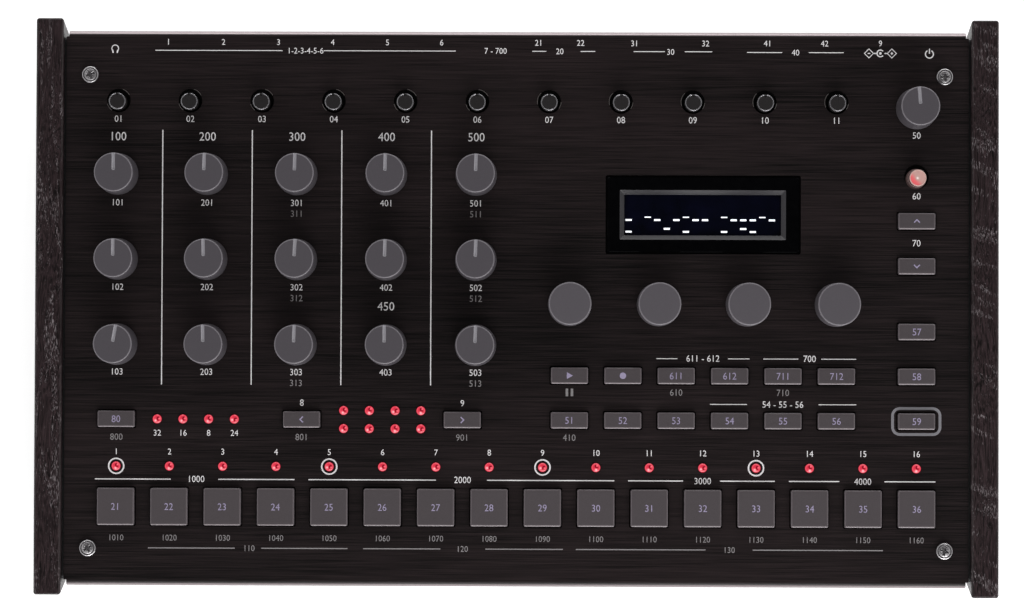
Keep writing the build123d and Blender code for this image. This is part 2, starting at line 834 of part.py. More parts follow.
with BuildPart() as usb_sockets:
    for across, axis, shell, mouth, tongue, tongue_rise, corner in (
        (usb_b_across, usb_b_axis, usb_b_shell, usb_b_mouth, usb_b_tongue, 0, usb_b_corner),
        (usb_a_across, usb_a_axis, usb_a_shell, usb_a_mouth, usb_a_tongue, usb_a_tongue_rise, 0),
    ):
        with BuildSketch(rear_wall):
            with Locations(on_rear(across, axis)):
                Rectangle(shell[0], shell[1])
        extrude(amount=-shell[2])
        with BuildSketch(rear_wall) as mouth_outline:
            with Locations(on_rear(across, axis)):
                Rectangle(*mouth)
            if corner:
                chamfer(mouth_outline.vertices().group_by(Axis.Y)[-1], corner)
            with Locations(on_rear(across, axis + tongue_rise)):
                Rectangle(*tongue, mode=Mode.SUBTRACT)
        extrude(amount=-usb_depth, mode=Mode.SUBTRACT)
save("usb_sockets", usb_sockets)

with BuildPart() as dc_socket:
    socket_block([on_rear(dc_across, dc_axis)], dc_body)
    with BuildSketch(behind_wall):
        with Locations(on_rear(dc_across, dc_axis)):
            RegularPolygon(dc_bore, middle_sides)
            RegularPolygon(dc_pin, middle_sides, mode=Mode.SUBTRACT)
    extrude(amount=-dc_depth, mode=Mode.SUBTRACT)
save("dc_socket", dc_socket)
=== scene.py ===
import json
from math import cos, pi, radians, sin

import bmesh
import bpy
import numpy as np
from mathutils import Matrix, Vector


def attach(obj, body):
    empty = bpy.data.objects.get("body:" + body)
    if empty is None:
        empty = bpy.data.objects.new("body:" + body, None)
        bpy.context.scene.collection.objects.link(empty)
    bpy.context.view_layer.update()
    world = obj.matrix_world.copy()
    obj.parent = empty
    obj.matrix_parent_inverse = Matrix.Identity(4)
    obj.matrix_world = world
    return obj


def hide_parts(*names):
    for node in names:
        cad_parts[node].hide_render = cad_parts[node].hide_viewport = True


# Dress of a desktop drum machine: a brushed black cover with knobs, keys, lamps and a display between
# two stained oak cheeks. Shapes are worked out in millimetres on two drawing planes, the control panel
# and the rear wall, as (across, up, rise), and put into the frame in metres.

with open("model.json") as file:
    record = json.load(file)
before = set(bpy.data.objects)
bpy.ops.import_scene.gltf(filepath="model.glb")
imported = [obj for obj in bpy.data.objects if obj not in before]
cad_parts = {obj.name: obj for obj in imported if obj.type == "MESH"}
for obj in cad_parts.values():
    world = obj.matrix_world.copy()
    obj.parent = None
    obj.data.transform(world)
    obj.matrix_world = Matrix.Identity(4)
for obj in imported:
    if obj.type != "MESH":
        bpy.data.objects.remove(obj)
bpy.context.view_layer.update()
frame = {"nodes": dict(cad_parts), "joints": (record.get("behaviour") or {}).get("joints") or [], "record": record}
nodes = frame["nodes"]
joints = {joint["name"]: joint for joint in frame["joints"]}
mounts = {mount["name"]: mount for mount in frame["record"]["mounts"]}
MM = 0.001

# ---------------------------------------------------------------- drawing planes

COLUMNS_TO_SIDE = 7.5  # from the middle to the outermost controls
VOLUME_ROW = 10.708  # rows are as far apart as the two rows of buttons
FRONT_KNOB_ROW = 5.407

volume_point = np.array(joints["volume_knob_turn"]["pos_m"])
front_knob_point = np.array(joints["bass_drive_knob_turn"]["pos_m"])
panel_normal = np.array(joints["volume_knob_turn"]["axis"])
panel_across = np.array([1.0, 0.0, 0.0])
panel_up = np.cross(panel_normal, panel_across)
column = volume_point[0] / COLUMNS_TO_SIDE / MM
row = (volume_point - front_knob_point) @ panel_up / (VOLUME_ROW - FRONT_KNOB_ROW) / MM
front_fold = volume_point - VOLUME_ROW * row * MM * panel_up
front_fold[0] = 0.0
PANEL = (front_fold, panel_across, panel_up, panel_normal)

rear_normal = -np.array(joints["power_button_press"]["axis"])
rear_across = np.array([-1.0, 0.0, 0.0])
rear_up = np.cross(rear_normal, rear_across)


def laid_on(plane, points):
    """Places in metres of points given in millimetres along a plane's two directions and off it."""
    origin, *directions = plane
    return origin + np.asarray(points, float) * MM @ np.array(directions)


def seat_of(name):
    """Place on the panel and turn at rest, in degrees, of a knob: it rests off its range's middle."""
    joint = joints[name + "_turn"]
    along = (np.array(joint["pos_m"]) - front_fold) / MM
    low, high = joint.get("range_deg", (0, 0))
    return along @ panel_across, along @ panel_up, -(low + high) / 2


# ---------------------------------------------------------------- surfaces


def rounded_line(corners, steps=4):
    """Points along a line whose corners, each (x, y, reach), are rounded.

    A corner's curve starts and ends at its reach from the corner and is a parabola between: the
    weights of the start, the corner and the end are (1-t)^2, 2t(1-t) and t^2.
    """
    spots = np.array([corner[:2] for corner in corners], float)
    line = [spots[:1]]
    t = np.linspace(0, 1, steps + 1)[:, None]
    for before, corner, after, (_, _, reach) in zip(spots, spots[1:], spots[2:], corners[1:-1]):
        if not reach:
            line.append(corner[None])
            continue
        start = corner + (before - corner) * reach / np.linalg.norm(before - corner)
        end = corner + (after - corner) * reach / np.linalg.norm(after - corner)
        line.append(start * (1 - t) ** 2 + 2 * corner * t * (1 - t) + end * t**2)
    line.append(spots[-1:])
    return np.concatenate(line)


def skin(rings, ends="closed"):
    """Surface through rings of points, an array of (ring, point, xyz); each ring joins up with itself.

    Ends closed gives each end ring a fan to its middle. Ends joined leads the last ring to the first.
    Ends open leaves both.
    """
    count, around = rings.shape[:2]
    index = np.arange(count * around).reshape(count, around)
    if ends == "joined":
        index = np.concatenate([index, index[:1]])
    after = np.roll(index, -1, axis=1)
    quads = np.stack([index[:-1], after[:-1], after[1:], index[1:]], axis=-1).reshape(-1, 4)
    points = rings.reshape(-1, 3)
    fans = np.zeros((0, 3), int)
    if ends == "closed":
        points = np.concatenate([points, rings[:1].mean(axis=1), rings[-1:].mean(axis=1)])
        first, last = count * around, count * around + 1
        low = np.stack([np.full(around, first), after[0], index[0]], axis=-1)
        high = np.stack([np.full(around, last), index[-1], after[-1]], axis=-1)
        fans = np.concatenate([low, high])
    return {"points": points, "faces": [quads, fans], "marks": [0, 0]}


def turned(profile, around=48, shape=None):
    """Surface of revolution: each (radius, rise) of the profile goes round the axis as a ring.

    Shape multiplies the radius by a function of the angle.
    """
    angle = np.arange(around) * 2 * pi / around
    reach = profile[:, 0, None] * (np.ones(around) if shape is None else shape(angle))
    rise = np.broadcast_to(profile[:, 1, None], reach.shape)
    return skin(np.stack([reach * np.cos(angle), reach * np.sin(angle), rise], axis=-1))


def oblong(width, height, corner, steps=4):
    """Outline of a rectangle with round corners: a quarter circle about each corner's centre."""
    angle = np.linspace(0, pi / 2, steps + 1) + (np.arange(4) * pi / 2)[:, None]
    centres = np.array([(1, 1), (-1, 1), (-1, -1), (1, -1)]) * (width / 2 - corner, height / 2 - corner)
    circle = np.stack([np.cos(angle), np.sin(angle)], axis=-1) * corner
    return (centres[:, None] + circle).reshape(-1, 2)


def even_circle(radius, around=48):
    """Points of a circle at even angles, as x and y."""
    angle = np.arange(around) * 2 * pi / around
    return np.column_stack([np.cos(angle), np.sin(angle)]) * radius


def stacked(outlines):
    """Rings from pairs of a flat outline, or of a circle's radius, and its rise."""
    rings = []
    for line, rise in outlines:
        flat = even_circle(line) if np.isscalar(line) else line
        rings.append(np.column_stack([flat, np.full(len(flat), rise)]))
    return np.stack(rings)


def moved(shape, across=0.0, up=0.0, rise=0.0, turn=0.0):
    """The shape turned about its own axis by degrees, then carried to a place."""
    c, s = cos(radians(turn)), sin(radians(turn))
    points = shape["points"] @ np.array([(c, s, 0), (-s, c, 0), (0, 0, 1)]) + (across, up, rise)
    return {**shape, "points": points}


def joined(shapes):
    """One shape from several, with faces renumbered by what comes before."""
    starts = np.cumsum([0] + [len(shape["points"]) for shape in shapes])
    return {
        "points": np.concatenate([shape["points"] for shape in shapes]),
        "faces": [face + start for shape, start in zip(shapes, starts) for face in shape["faces"]],
        "marks": [mark for shape in shapes for mark in shape["marks"]],
    }


def plate(width, height, low, high, corner=0.05):
    """Thin flat plate with round corners."""
    outline = oblong(width, height, min(corner, width / 2.01, height / 2.01), 2)
    return skin(stacked([(outline, low), (outline, high)]))


INK_LOW, INK_HIGH = 0.002, 0.02


def bar(start, end, up, thick, low=INK_LOW, high=INK_HIGH):
    """Straight line of ink from one place across to another."""
    return moved(plate(end - start, thick, low, high), (start + end) / 2, up)


def band(outline, width, low=INK_LOW, high=INK_HIGH):
    """Closed band of ink along an outline of (across, up), its edges half the width to each side."""
    before, after = np.roll(outline, 1, axis=0), np.roll(outline, -1, axis=0)
    tangent = after - before
    tangent /= np.linalg.norm(tangent, axis=1)[:, None]
    side = np.column_stack([tangent[:, 1], -tangent[:, 0]]) * width / 2
    inner, outer = outline - side, outline + side
    return skin(stacked([(inner, low), (outer, low), (outer, high), (inner, high)]), ends="joined")


def stroke(path, width, low=INK_LOW, high=INK_HIGH):
    """Line of ink along an open path of (across, up): four corners carried along, ends closed."""
    path = np.array(path, float)
    tangent = np.gradient(path, axis=0)
    tangent /= np.linalg.norm(tangent, axis=1)[:, None]
    side = np.column_stack([-tangent[:, 1], tangent[:, 0]])
    # a mitred corner is wider by one over the cosine of half its turn
    steps = np.diff(path, axis=0)
    steps /= np.linalg.norm(steps, axis=1)[:, None]
    half = np.ones(len(path))
    half[1:-1] = np.sqrt((1 + (steps[:-1] * steps[1:]).sum(1)) / 2)
    side *= (width / 2 / np.maximum(half, 0.3))[:, None]
    left, right = path + side, path - side
    corners = stacked([(left, low), (right, low), (right, high), (left, high)])
    return skin(corners.swapaxes(0, 1))


def circle(radius, start=0, sweep=360, count=40):
    """Points along part of a circle, from a start and through a sweep in degrees."""
    angle = np.radians(start + np.linspace(0, sweep, count, endpoint=sweep < 360))
    return np.column_stack([np.cos(angle), np.sin(angle)]) * radius


def make_piece(
    name, shape, plane, finishes, body="case", crease=35.0, replaces=(), glow=None
):
    """Puts a shape into a mesh by whole arrays and rides it on its body."""
    points = laid_on(plane, shape["points"])
    faces = shape["faces"]
    sizes = np.concatenate([np.full(len(face), face.shape[1]) for face in faces])
    marks = np.concatenate([
        np.broadcast_to(mark, len(face)) for face, mark in zip(faces, shape["marks"])
    ])
    mesh = bpy.data.meshes.new(name)
    mesh.vertices.add(len(points))
    mesh.vertices.foreach_set("co", points.ravel())
    corners = np.concatenate([face.ravel() for face in faces])
    mesh.loops.add(len(corners))
    mesh.loops.foreach_set("vertex_index", corners)
    mesh.polygons.add(len(sizes))
    mesh.polygons.foreach_set("loop_start", np.concatenate([[0], np.cumsum(sizes)[:-1]]))
    mesh.polygons.foreach_set("material_index", marks.astype(np.int32))
    mesh.update(calc_edges=True)
    mesh.validate()
    if glow is not None:
        values = mesh.attributes.new("glow", "FLOAT", "POINT").data
        values.foreach_set("value", glow.astype(np.float32))
    return finish_piece(mesh, finishes, body, crease, replaces)


def finish_piece(mesh, finishes, body, crease=35.0, replaces=()):
    """Gives a mesh its materials and smooth shading between creases, and rides it on its body."""
    piece = bpy.data.objects.new(mesh.name, mesh)
    bpy.context.scene.collection.objects.link(piece)
    for finish in finishes:
        mesh.materials.append(finish)
    mesh.shade_smooth()
    mesh.set_sharp_from_angle(angle=radians(crease))
    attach(piece, body)
    if replaces:
        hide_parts(*replaces)
    return piece


# ---------------------------------------------------------------- materials


def tone(code):
    """Linear colour of an sRGB hex code."""
    parts = np.array([int(code[i : i + 2], 16) for i in (1, 3, 5)]) / 255
    linear = np.where(parts <= 0.04045, parts / 12.92, ((parts + 0.055) / 1.055) ** 2.4)
    return (*linear.tolist(), 1.0)


def add_node(tree, kind, inputs=None, **settings):
    """Adds a shader node; inputs are values, or other nodes' sockets to link."""
    node = tree.nodes.new("ShaderNode" + kind)
    for name, value in settings.items():
        setattr(node, name, value)
    for name, value in (inputs or {}).items():
        if isinstance(value, bpy.types.NodeSocket):
            tree.links.new(value, node.inputs[name])
        else:
            node.inputs[name].default_value = value
    return node


def per_mm(x, y=None, z=None):
    """Scale of a mapping on object coordinates that makes a pattern repeat about every so many mm."""
    return tuple(1 / (size * MM) for size in (x, y or x, z or x))


def new_material(name, **sockets):
    """Material with a principled shader whose uniform values are set on its own sockets."""
    material = bpy.data.materials.new(name)
    material.use_nodes = True
    tree = material.node_tree
    tree.nodes.clear()
    named = {key.replace("_", " "): value for key, value in sockets.items()}
    shader = add_node(tree, "BsdfPrincipled", named)
    add_node(tree, "OutputMaterial", {"Surface": shader.outputs["BSDF"]})
    place = add_node(tree, "TexCoord").outputs["Object"]
    return material, tree, shader, place


def speckled(name, dark, light, grain_mm, depth_mm, bump=0.3, **sockets):
    """Material with fine grain: noise of the grain's size shifts colour and lifts the surface."""
    material, tree, shader, place = new_material(name, **sockets)
    spot = add_node(tree, "Mapping", {"Vector": place, "Scale": per_mm(grain_mm)})
    grain = add_node(tree, "TexNoise", {
        "Vector": spot.outputs["Vector"], "Scale": 1.0, "Detail": 3.0, "Roughness": 0.5,
    })
    shade = add_node(tree, "ValToRGB", {"Fac": grain.outputs["Fac"]})
    low, high = shade.color_ramp.elements
    low.position, high.position = 0.3, 0.7
    low.color, high.color = tone(dark), tone(light)
    relief = add_node(tree, "Bump", {
        "Height": grain.outputs["Fac"], "Strength": bump, "Distance": depth_mm * MM,
    })
    tree.links.new(shade.outputs["Color"], shader.inputs["Base Color"])
    tree.links.new(relief.outputs["Normal"], shader.inputs["Normal"])
    return material


def brushed_black_anodised():
    """Aluminium sheet brushed from side to side and anodised black: the eye sees faint fine streaks
    along it. Over the folds a pale metal is mixed in, a painted highlight for the sheen they catch. The
    lines are near 0.1 mm in the real sheet, and drawn 0.35 mm apart to show."""
    material, tree, shader, place = new_material("brushed_black_anodised", Specular_IOR_Level=0.22)
    long = add_node(tree, "Mapping", {"Vector": place, "Scale": per_mm(26.0, 0.32, 0.32)})
    streak = add_node(tree, "TexNoise", {
        "Vector": long.outputs["Vector"], "Scale": 1.0, "Detail": 4.0, "Roughness": 0.6,
    })
    wide = add_node(tree, "Mapping", {"Vector": place, "Scale": per_mm(130.0, 26.0, 26.0)})
    cloud = add_node(tree, "TexNoise", {"Vector": wide.outputs["Vector"], "Scale": 1.0, "Detail": 2.0})
    both = add_node(tree, "Mix", {
        "Factor": 0.3, "A": streak.outputs["Fac"], "B": cloud.outputs["Fac"],
    }, data_type="FLOAT")
    shade = add_node(tree, "ValToRGB", {"Fac": both.outputs["Result"]})
    low, high = shade.color_ramp.elements
    low.position, high.position = 0.36, 0.64
    low.color, high.color = tone("#030202"), tone("#231b1c")
    # painted highlight: pale metal mixed in over the folds by the piece's own attribute
    painted_fold_highlight = add_node(tree, "Attribute", attribute_name="painted_fold_highlight")
    metal = add_node(tree, "Mix", {
        "Factor": painted_fold_highlight.outputs["Fac"], "A": shade.outputs["Color"], "B": tone("#9c9294"),
    }, data_type="RGBA")
    matt = add_node(tree, "MapRange", {"Value": streak.outputs["Fac"], "To Min": 0.34, "To Max": 0.5})
    relief = add_node(tree, "Bump", {
        "Height": streak.outputs["Fac"], "Strength": 0.2, "Distance": 0.015 * MM,
    })
    tree.links.new(metal.outputs["Result"], shader.inputs["Base Color"])
    tree.links.new(painted_fold_highlight.outputs["Fac"], shader.inputs["Metallic"])
    tree.links.new(matt.outputs["Result"], shader.inputs["Roughness"])
    tree.links.new(relief.outputs["Normal"], shader.inputs["Normal"])
    return material


def stained_open_pore_oak(name, band_mm, lean):
    """Oak sawn along the cheek, stained near black and left open: the eye sees fine dark and brown
    fibres, and short pale pores crowded into bands, which run along one board and across the other.

    The bands' size is given in mm across and along the grain; lean slants them by a share of the
    way across.
    """
    material, tree, shader, place = new_material(name, Roughness=0.34, Specular_IOR_Level=0.25)
    broad = add_node(tree, "Mapping", {"Vector": place, "Scale": per_mm(11.0, 48.0, 11.0)})
    sway = add_node(tree, "TexNoise", {"Vector": broad.outputs["Vector"], "Scale": 1.0, "Detail": 1.0})
    swung = add_node(tree, "VectorMath", {
        0: sway.outputs["Color"], 1: (7.0 * MM, 0.0, 7.0 * MM),
    }, operation="MULTIPLY")
    bent = add_node(tree, "VectorMath", {0: place, 1: swung.outputs["Vector"]}, operation="ADD")
    thin = add_node(tree, "Mapping", {"Vector": bent.outputs["Vector"], "Scale": per_mm(0.3, 16.0, 0.3)})
    fibre = add_node(tree, "TexNoise", {
        "Vector": thin.outputs["Vector"], "Scale": 1.0, "Detail": 3.0, "Roughness": 0.55,
    })
    short = add_node(tree, "Mapping", {
        "Vector": bent.outputs["Vector"], "Scale": per_mm(0.19, 2.2, 0.19),
    })
    pore = add_node(tree, "TexNoise", {
        "Vector": short.outputs["Vector"], "Scale": 1.0, "Detail": 2.0, "Roughness": 0.6,
    })
    parts = add_node(tree, "SeparateXYZ", {"Vector": bent.outputs["Vector"]})
    slant = add_node(
        tree, "Math", {0: parts.outputs["X"], 1: lean, 2: parts.outputs["Y"]}, operation="MULTIPLY_ADD"
    )
    skewed = add_node(tree, "CombineXYZ", {
        "X": parts.outputs["X"], "Y": slant.outputs["Value"], "Z": parts.outputs["Z"],
    })
    sized = add_node(tree, "Mapping", {
        "Vector": skewed.outputs["Vector"], "Scale": per_mm(band_mm[0], band_mm[1], band_mm[0]),
    })
    figure = add_node(tree, "TexNoise", {"Vector": sized.outputs["Vector"], "Scale": 1.0, "Detail": 1.0})
    crowd = add_node(tree, "MapRange", {
        "Value": figure.outputs["Fac"], "From Min": 0.5, "From Max": 0.6, "To Min": 0.0, "To Max": 0.12,
    })
    level = add_node(tree, "Math", {0: pore.outputs["Fac"], 1: crowd.outputs["Result"]}, operation="ADD")
    opened = add_node(tree, "MapRange", {
        "Value": level.outputs["Value"], "From Min": 0.67, "From Max": 0.75,
    })
    ground = add_node(tree, "ValToRGB", {"Fac": fibre.outputs["Fac"]})
    low, high = ground.color_ramp.elements
    low.position, high.position = 0.36, 0.64
    low.color, high.color = tone("#0d0909"), tone("#33282a")
    wood = add_node(tree, "Mix", {
        "Factor": opened.outputs["Result"], "A": ground.outputs["Color"], "B": tone("#6f686a"),
    }, data_type="RGBA")
    relief = add_node(tree, "Bump", {
        "Height": fibre.outputs["Fac"], "Strength": 0.4, "Distance": 0.1 * MM,
    })
    tree.links.new(wood.outputs["Result"], shader.inputs["Base Color"])
    tree.links.new(relief.outputs["Normal"], shader.inputs["Normal"])
    return material


def lit_plastic(name, codes, base=None, **sockets):
    """Plastic lit from inside: colours along the piece's own glow attribute both colour it and shine."""
    material, tree, shader, _ = new_material(name, **sockets)
    glow = add_node(tree, "Attribute", attribute_name="glow")
    colour = add_node(tree, "ValToRGB", {"Fac": glow.outputs["Fac"]})
    ramp = colour.color_ramp
    places = sorted(codes)
    ramp.elements[0].color, ramp.elements[1].color = tone(codes[places[0]]), tone(codes[places[-1]])
    for position in places[1:-1]:
        ramp.elements.new(position).color = tone(codes[position])
    tree.links.new(colour.outputs["Color"], shader.inputs["Emission Color"])
    if base is None:
        tree.links.new(colour.outputs["Color"], shader.inputs["Base Color"])
    else:
        shader.inputs["Base Color"].default_value = tone(base)
    return material


cover_finish = brushed_black_anodised()
oaks = {
    "left": stained_open_pore_oak("plain_sawn_stained_oak", (2.0, 60.0), 0.1),
    "right": stained_open_pore_oak("quarter_sawn_stained_oak", (14.0, 5.0), 0.5),
}
# clear red epoxy over a lit chip: a red bead with a dark crescent, a pink hot spot and a painted highlight
red_lens = lit_plastic(
    "lit_red_epoxy_lens",
    {0.0: "#46050f", 0.25: "#961426", 0.5: "#e4344c", 0.72: "#fa6e7d", 1.0: "#ffd7da"},
    base="#2a0408", Roughness=0.15, Specular_IOR_Level=0.3, Emission_Strength=1.0,
)
# smoky acrylic over a red lamp: grey pink with a red glow on one side, painted highlights on its pale
# edges and steps, and painted shade on its barrel
smoky_acrylic = lit_plastic(
    "smoky_acrylic_over_red_lamp",
    {0.0: "#251c1c", 0.12: "#6b5856", 0.3: "#c54a52", 0.6: "#9f857e", 0.8: "#bca39d", 1.0: "#d5cdc9"},
    Roughness=0.25, Specular_IOR_Level=0.3, Emission_Strength=0.5,
)
# nickel-plated brass, turned: a warm white metal with a fine grain
nickel = speckled("turned_nickel", "#a39d97", "#c9c4be", 0.5, 0.01, Metallic=1.0, Roughness=0.24)
# soft-touch coat sprayed on moulded ABS: even dark grey with a faint matt tooth
soft_touch = speckled(
    "soft_touch_coated_abs", "#403c41", "#464247", 0.25, 0.01, bump=0.15, Roughness=0.5
)
# the same coat on the encoders' wider caps: a shade paler
encoder_coat = speckled(
    "soft_touch_coated_encoder_abs", "#474348", "#4d494e", 0.25, 0.01, bump=0.15, Roughness=0.5
)
# painted highlight: the knob's rounded top edge gets a paler coat, which stands in for the light it catches
knob_rim_painted_highlight = speckled(
    "soft_touch_rim_painted_highlight", "#656166", "#6f6b70", 0.25, 0.005, bump=0.1, Roughness=0.35
)
# enamel wiped into the pointer's groove: a soft pale grey line
groove_paint = speckled(
    "groove_filling_paint", "#858288", "#949297", 0.3, 0.01, bump=0.1, Roughness=0.5
)
# silicone rubber caps, moulded: matt warm grey
key_rubber = speckled(
    "moulded_silicone_rubber", "#3d3739", "#443e41", 0.3, 0.012, bump=0.2, Roughness=0.48
)
# painted highlight: the caps' rounded edges get a paler, smoother rubber, which stands in for the light they catch
key_edge_painted_highlight = speckled(
    "silicone_rubber_edge_painted_highlight", "#514a4d", "#5b5457", 0.3, 0.005, bump=0.1, Roughness=0.3
)
# and a brighter painted highlight on the front edge, where the front lamps fall
key_front_painted_highlight = speckled(
    "silicone_rubber_front_painted_highlight", "#6e6669", "#7a7275", 0.3, 0.005, bump=0.1, Roughness=0.3
)
# painted shade: a flat black on the caps' stems and flanges, which stands in for the shade in the gaps round the
# caps
gap_painted_shade = speckled(
    "black_painted_gap_shade", "#020202", "#040404", 0.5, 0.01, bump=0.1, Roughness=0.9,
    Specular_IOR_Level=0.05,
)
# painted highlight: bright metal in thin arcs along parts of a hole's edge, where the rim catches the light
hole_rim_painted_highlight = speckled(
    "aluminium_hole_rim_painted_highlight", "#d0c7c4", "#e2dad7", 0.3, 0.01, bump=0.1, Metallic=1.0, Roughness=0.3
)
# pad-printed ink on the caps: violet grey figures, dimmer than the panel's
legend_ink = speckled(
    "violet_grey_legend_ink", "#8a819c", "#988fa9", 0.2, 0.003, bump=0.05, Roughness=0.5
)
# screen-printed ink on the panel: flat white, and two flat greys for what matters less
white_ink = speckled("white_screen_ink", "#cfcccd", "#dddadb", 0.2, 0.003, bump=0.05, Roughness=0.55)
frame_ink = speckled(
    "pale_grey_screen_ink", "#6e6c71", "#7a787d", 0.2, 0.003, bump=0.05, Roughness=0.55
)
grey_ink = speckled("grey_screen_ink", "#767273", "#827e7f", 0.2, 0.003, bump=0.05, Roughness=0.55)
# ABS, moulded smooth: near black, with a plated rim that shows as a bright broken ring
slim_knob_abs = speckled(
    "slim_knob_moulded_abs", "#151213", "#1a1718", 0.3, 0.01, bump=0.15, Roughness=0.45
)
rim_plating = speckled(
    "plated_knob_rim", "#8e8c90", "#a5a3a7", 0.4, 0.01, bump=0.1, Metallic=1.0, Roughness=0.25
)
# steel plated with black nickel: a grey metal that turns dark in its recess and ring
black_nickel = speckled(
    "black_nickel_screw_steel", "#adaaac", "#c6c3c5", 0.25, 0.02, Metallic=1.0, Roughness=0.3
)
# acrylic, polished: a black frame with no grain, and a dark grey, lighter than the frame, on the slope round the
# window
bezel_gloss = speckled(
    "polished_black_acrylic", "#020203", "#040405", 2.0, 0.002, bump=0.05, Roughness=0.06,
    Specular_IOR_Level=0.1,
)
window_slope_grey = speckled(
    "window_slope_dark_grey", "#1f1d22", "#28262b", 0.4, 0.01, bump=0.1, Roughness=0.35
)
# display glass over a dark layer: a blue black
display_glass = speckled(
    "dark_display_glass", "#04050d", "#070817", 6.0, 0.002, bump=0.0, Roughness=0.08,
    Specular_IOR_Level=0.1,
)
# ABS, moulded with a textured face: black with a fine pebble that breaks up its shine
case_abs = speckled("textured_black_abs", "#131314", "#1c1c1d", 0.45, 0.05, bump=0.5, Roughness=0.6)
# rubber, moulded: flat black
foot_rubber = speckled("moulded_black_rubber", "#101010", "#181818", 0.6, 0.04, bump=0.4, Roughness=0.8)
# PBT, moulded: an even black, or off-white, with a low shine
socket_pbt = speckled("moulded_black_pbt", "#0f0f10", "#161617", 0.4, 0.02, bump=0.3, Roughness=0.45)
socket_white = speckled("moulded_white_pbt", "#b9b9b4", "#c6c6c1", 0.5, 0.01, bump=0.1, Roughness=0.5)
# solder resist on glass epoxy board: dark glossy green
board_resin = speckled(
    "solder_resist_on_glass_epoxy", "#0b1f16", "#123022", 1.5, 0.01, Roughness=0.35
)
# nylon, moulded: dull black, for what is under the panel
pot_nylon = speckled("moulded_black_nylon", "#060606", "#0b0b0b", 0.8, 0.02, Roughness=0.6)
switch_abs = speckled(
    "switch_moulded_nylon", "#101011", "#1b1b1c", 0.4, 0.02, bump=0.2, Roughness=0.5
)
# sheet steel drawn to a shell and nickelled: a cooler, duller white metal than the turned nickel
shell_steel = speckled(
    "drawn_nickelled_steel", "#a8a7a3", "#c2c1bd", 0.8, 0.02, Metallic=1.0, Roughness=0.3
)
# dots lit behind the glass: an even white that needs no light on it
display_light = bpy.data.materials.new("lit_display_dots")
display_light.use_nodes = True
display_light.node_tree.nodes.clear()
lit = add_node(display_light.node_tree, "BsdfPrincipled", {
    "Base Color": tone("#e8ecf2"), "Emission Color": tone("#f6f8ff"), "Emission Strength": 0.8,
})
add_node(display_light.node_tree, "OutputMaterial", {"Surface": lit.outputs["BSDF"]})

for node, finish in {
    "display_module": display_glass,
    "panel_board": board_resin,
    "jack_board": board_resin,
    "pot_bodies": pot_nylon,
    "push_switches": switch_abs,
}.items():
    nodes[node].data.materials.clear()
    nodes[node].data.materials.append(finish)


def vertices_of(name):
    """Places in metres of a solid's corners."""
    mesh = nodes[name].data
    places = np.empty(len(mesh.vertices) * 3)
    mesh.vertices.foreach_get("co", places)
    return places.reshape(-1, 3)


# ---------------------------------------------------------------- cover


def copied_mesh(node, name):
    """Merged copy of a solid's mesh, with its flat faces whole again."""
    mesh = nodes[node].data.copy()
    mesh.name = name
    mesh.materials.clear()
    shape = bmesh.new()
    shape.from_mesh(mesh)
    bmesh.ops.remove_doubles(shape, verts=shape.verts, dist=1e-6)
    bmesh.ops.dissolve_limit(shape, angle_limit=radians(0.3), verts=shape.verts, edges=shape.edges)
    return mesh, shape


PANEL_DEPTH = 190.4  # between the fold lines
HOLE_CORNER = 0.6
FLAT_SHARE = 0.34  # of a flat's width, rounded off at each of its ends
RIM_BREAK = 0.12
FOLD_HIGHLIGHT_REACH = 1.85  # how far in from a fold line its painted highlight reaches


def off_panel(points):
    """Across, up and rise in millimetres of places in metres: the opposite of laid_on."""
    return (points - front_fold) / MM @ np.array([panel_across, panel_up, panel_normal]).T


def square_to_panel(edge):
    """Whether an edge between two faces runs straight down through the panel."""
    along = (edge.verts[1].co - edge.verts[0].co).normalized()
    return abs(along.dot(normal)) > 0.999 and len(edge.link_faces) == 2


mesh, shape = copied_mesh("top_panel", "folded_cover")
normal = Vector(panel_normal)
upright = [
    edge
    for edge in shape.edges
    if square_to_panel(edge)
    and edge.calc_face_angle(0) > radians(80)
    and edge.calc_length() > 1.2 * MM
    and abs(edge.verts[0].co.x) < volume_point[0] + 9 * MM
]
bmesh.ops.bevel(shape, geom=upright, offset=HOLE_CORNER * MM, segments=3, profile=0.5, affect="EDGES")
# punched round holes are drawn with few flats in the solid: each flat's corner is rounded in turn
for side_count in (16, 10):
    turn = 2 * pi / side_count
    flats = [
        edge
        for edge in shape.edges
        if square_to_panel(edge)
        and abs(edge.calc_face_angle(0) - turn) < 0.02
        and 1.2 * MM < edge.calc_length() < 1.8 * MM
    ]
    wide = min(face.calc_perimeter() / 2 - flats[0].calc_length() for face in flats[0].link_faces)
    bmesh.ops.bevel(
        shape, geom=flats, offset=wide * FLAT_SHARE, segments=2, profile=0.5, affect="EDGES"
    )
origin = Vector(front_fold)
rims = [
    edge
    for edge in shape.edges
    if len(edge.link_faces) == 2
    and edge.calc_face_angle(0) > radians(60)
    and all(abs((vert.co - origin).dot(normal)) < 1e-6 for vert in edge.verts)
]
bmesh.ops.bevel(
    shape, geom=rims, offset=RIM_BREAK * MM, segments=2, profile=0.5, affect="EDGES",
    clamp_overlap=True,
)
for face in shape.faces:
    face.smooth = face.calc_area() < 30 * MM**2 or abs(face.normal.z) < 0.985
shape.to_mesh(mesh)
shape.free()
points = np.empty(len(mesh.vertices) * 3)
mesh.vertices.foreach_get("co", points)
along = off_panel(points.reshape(-1, 3))
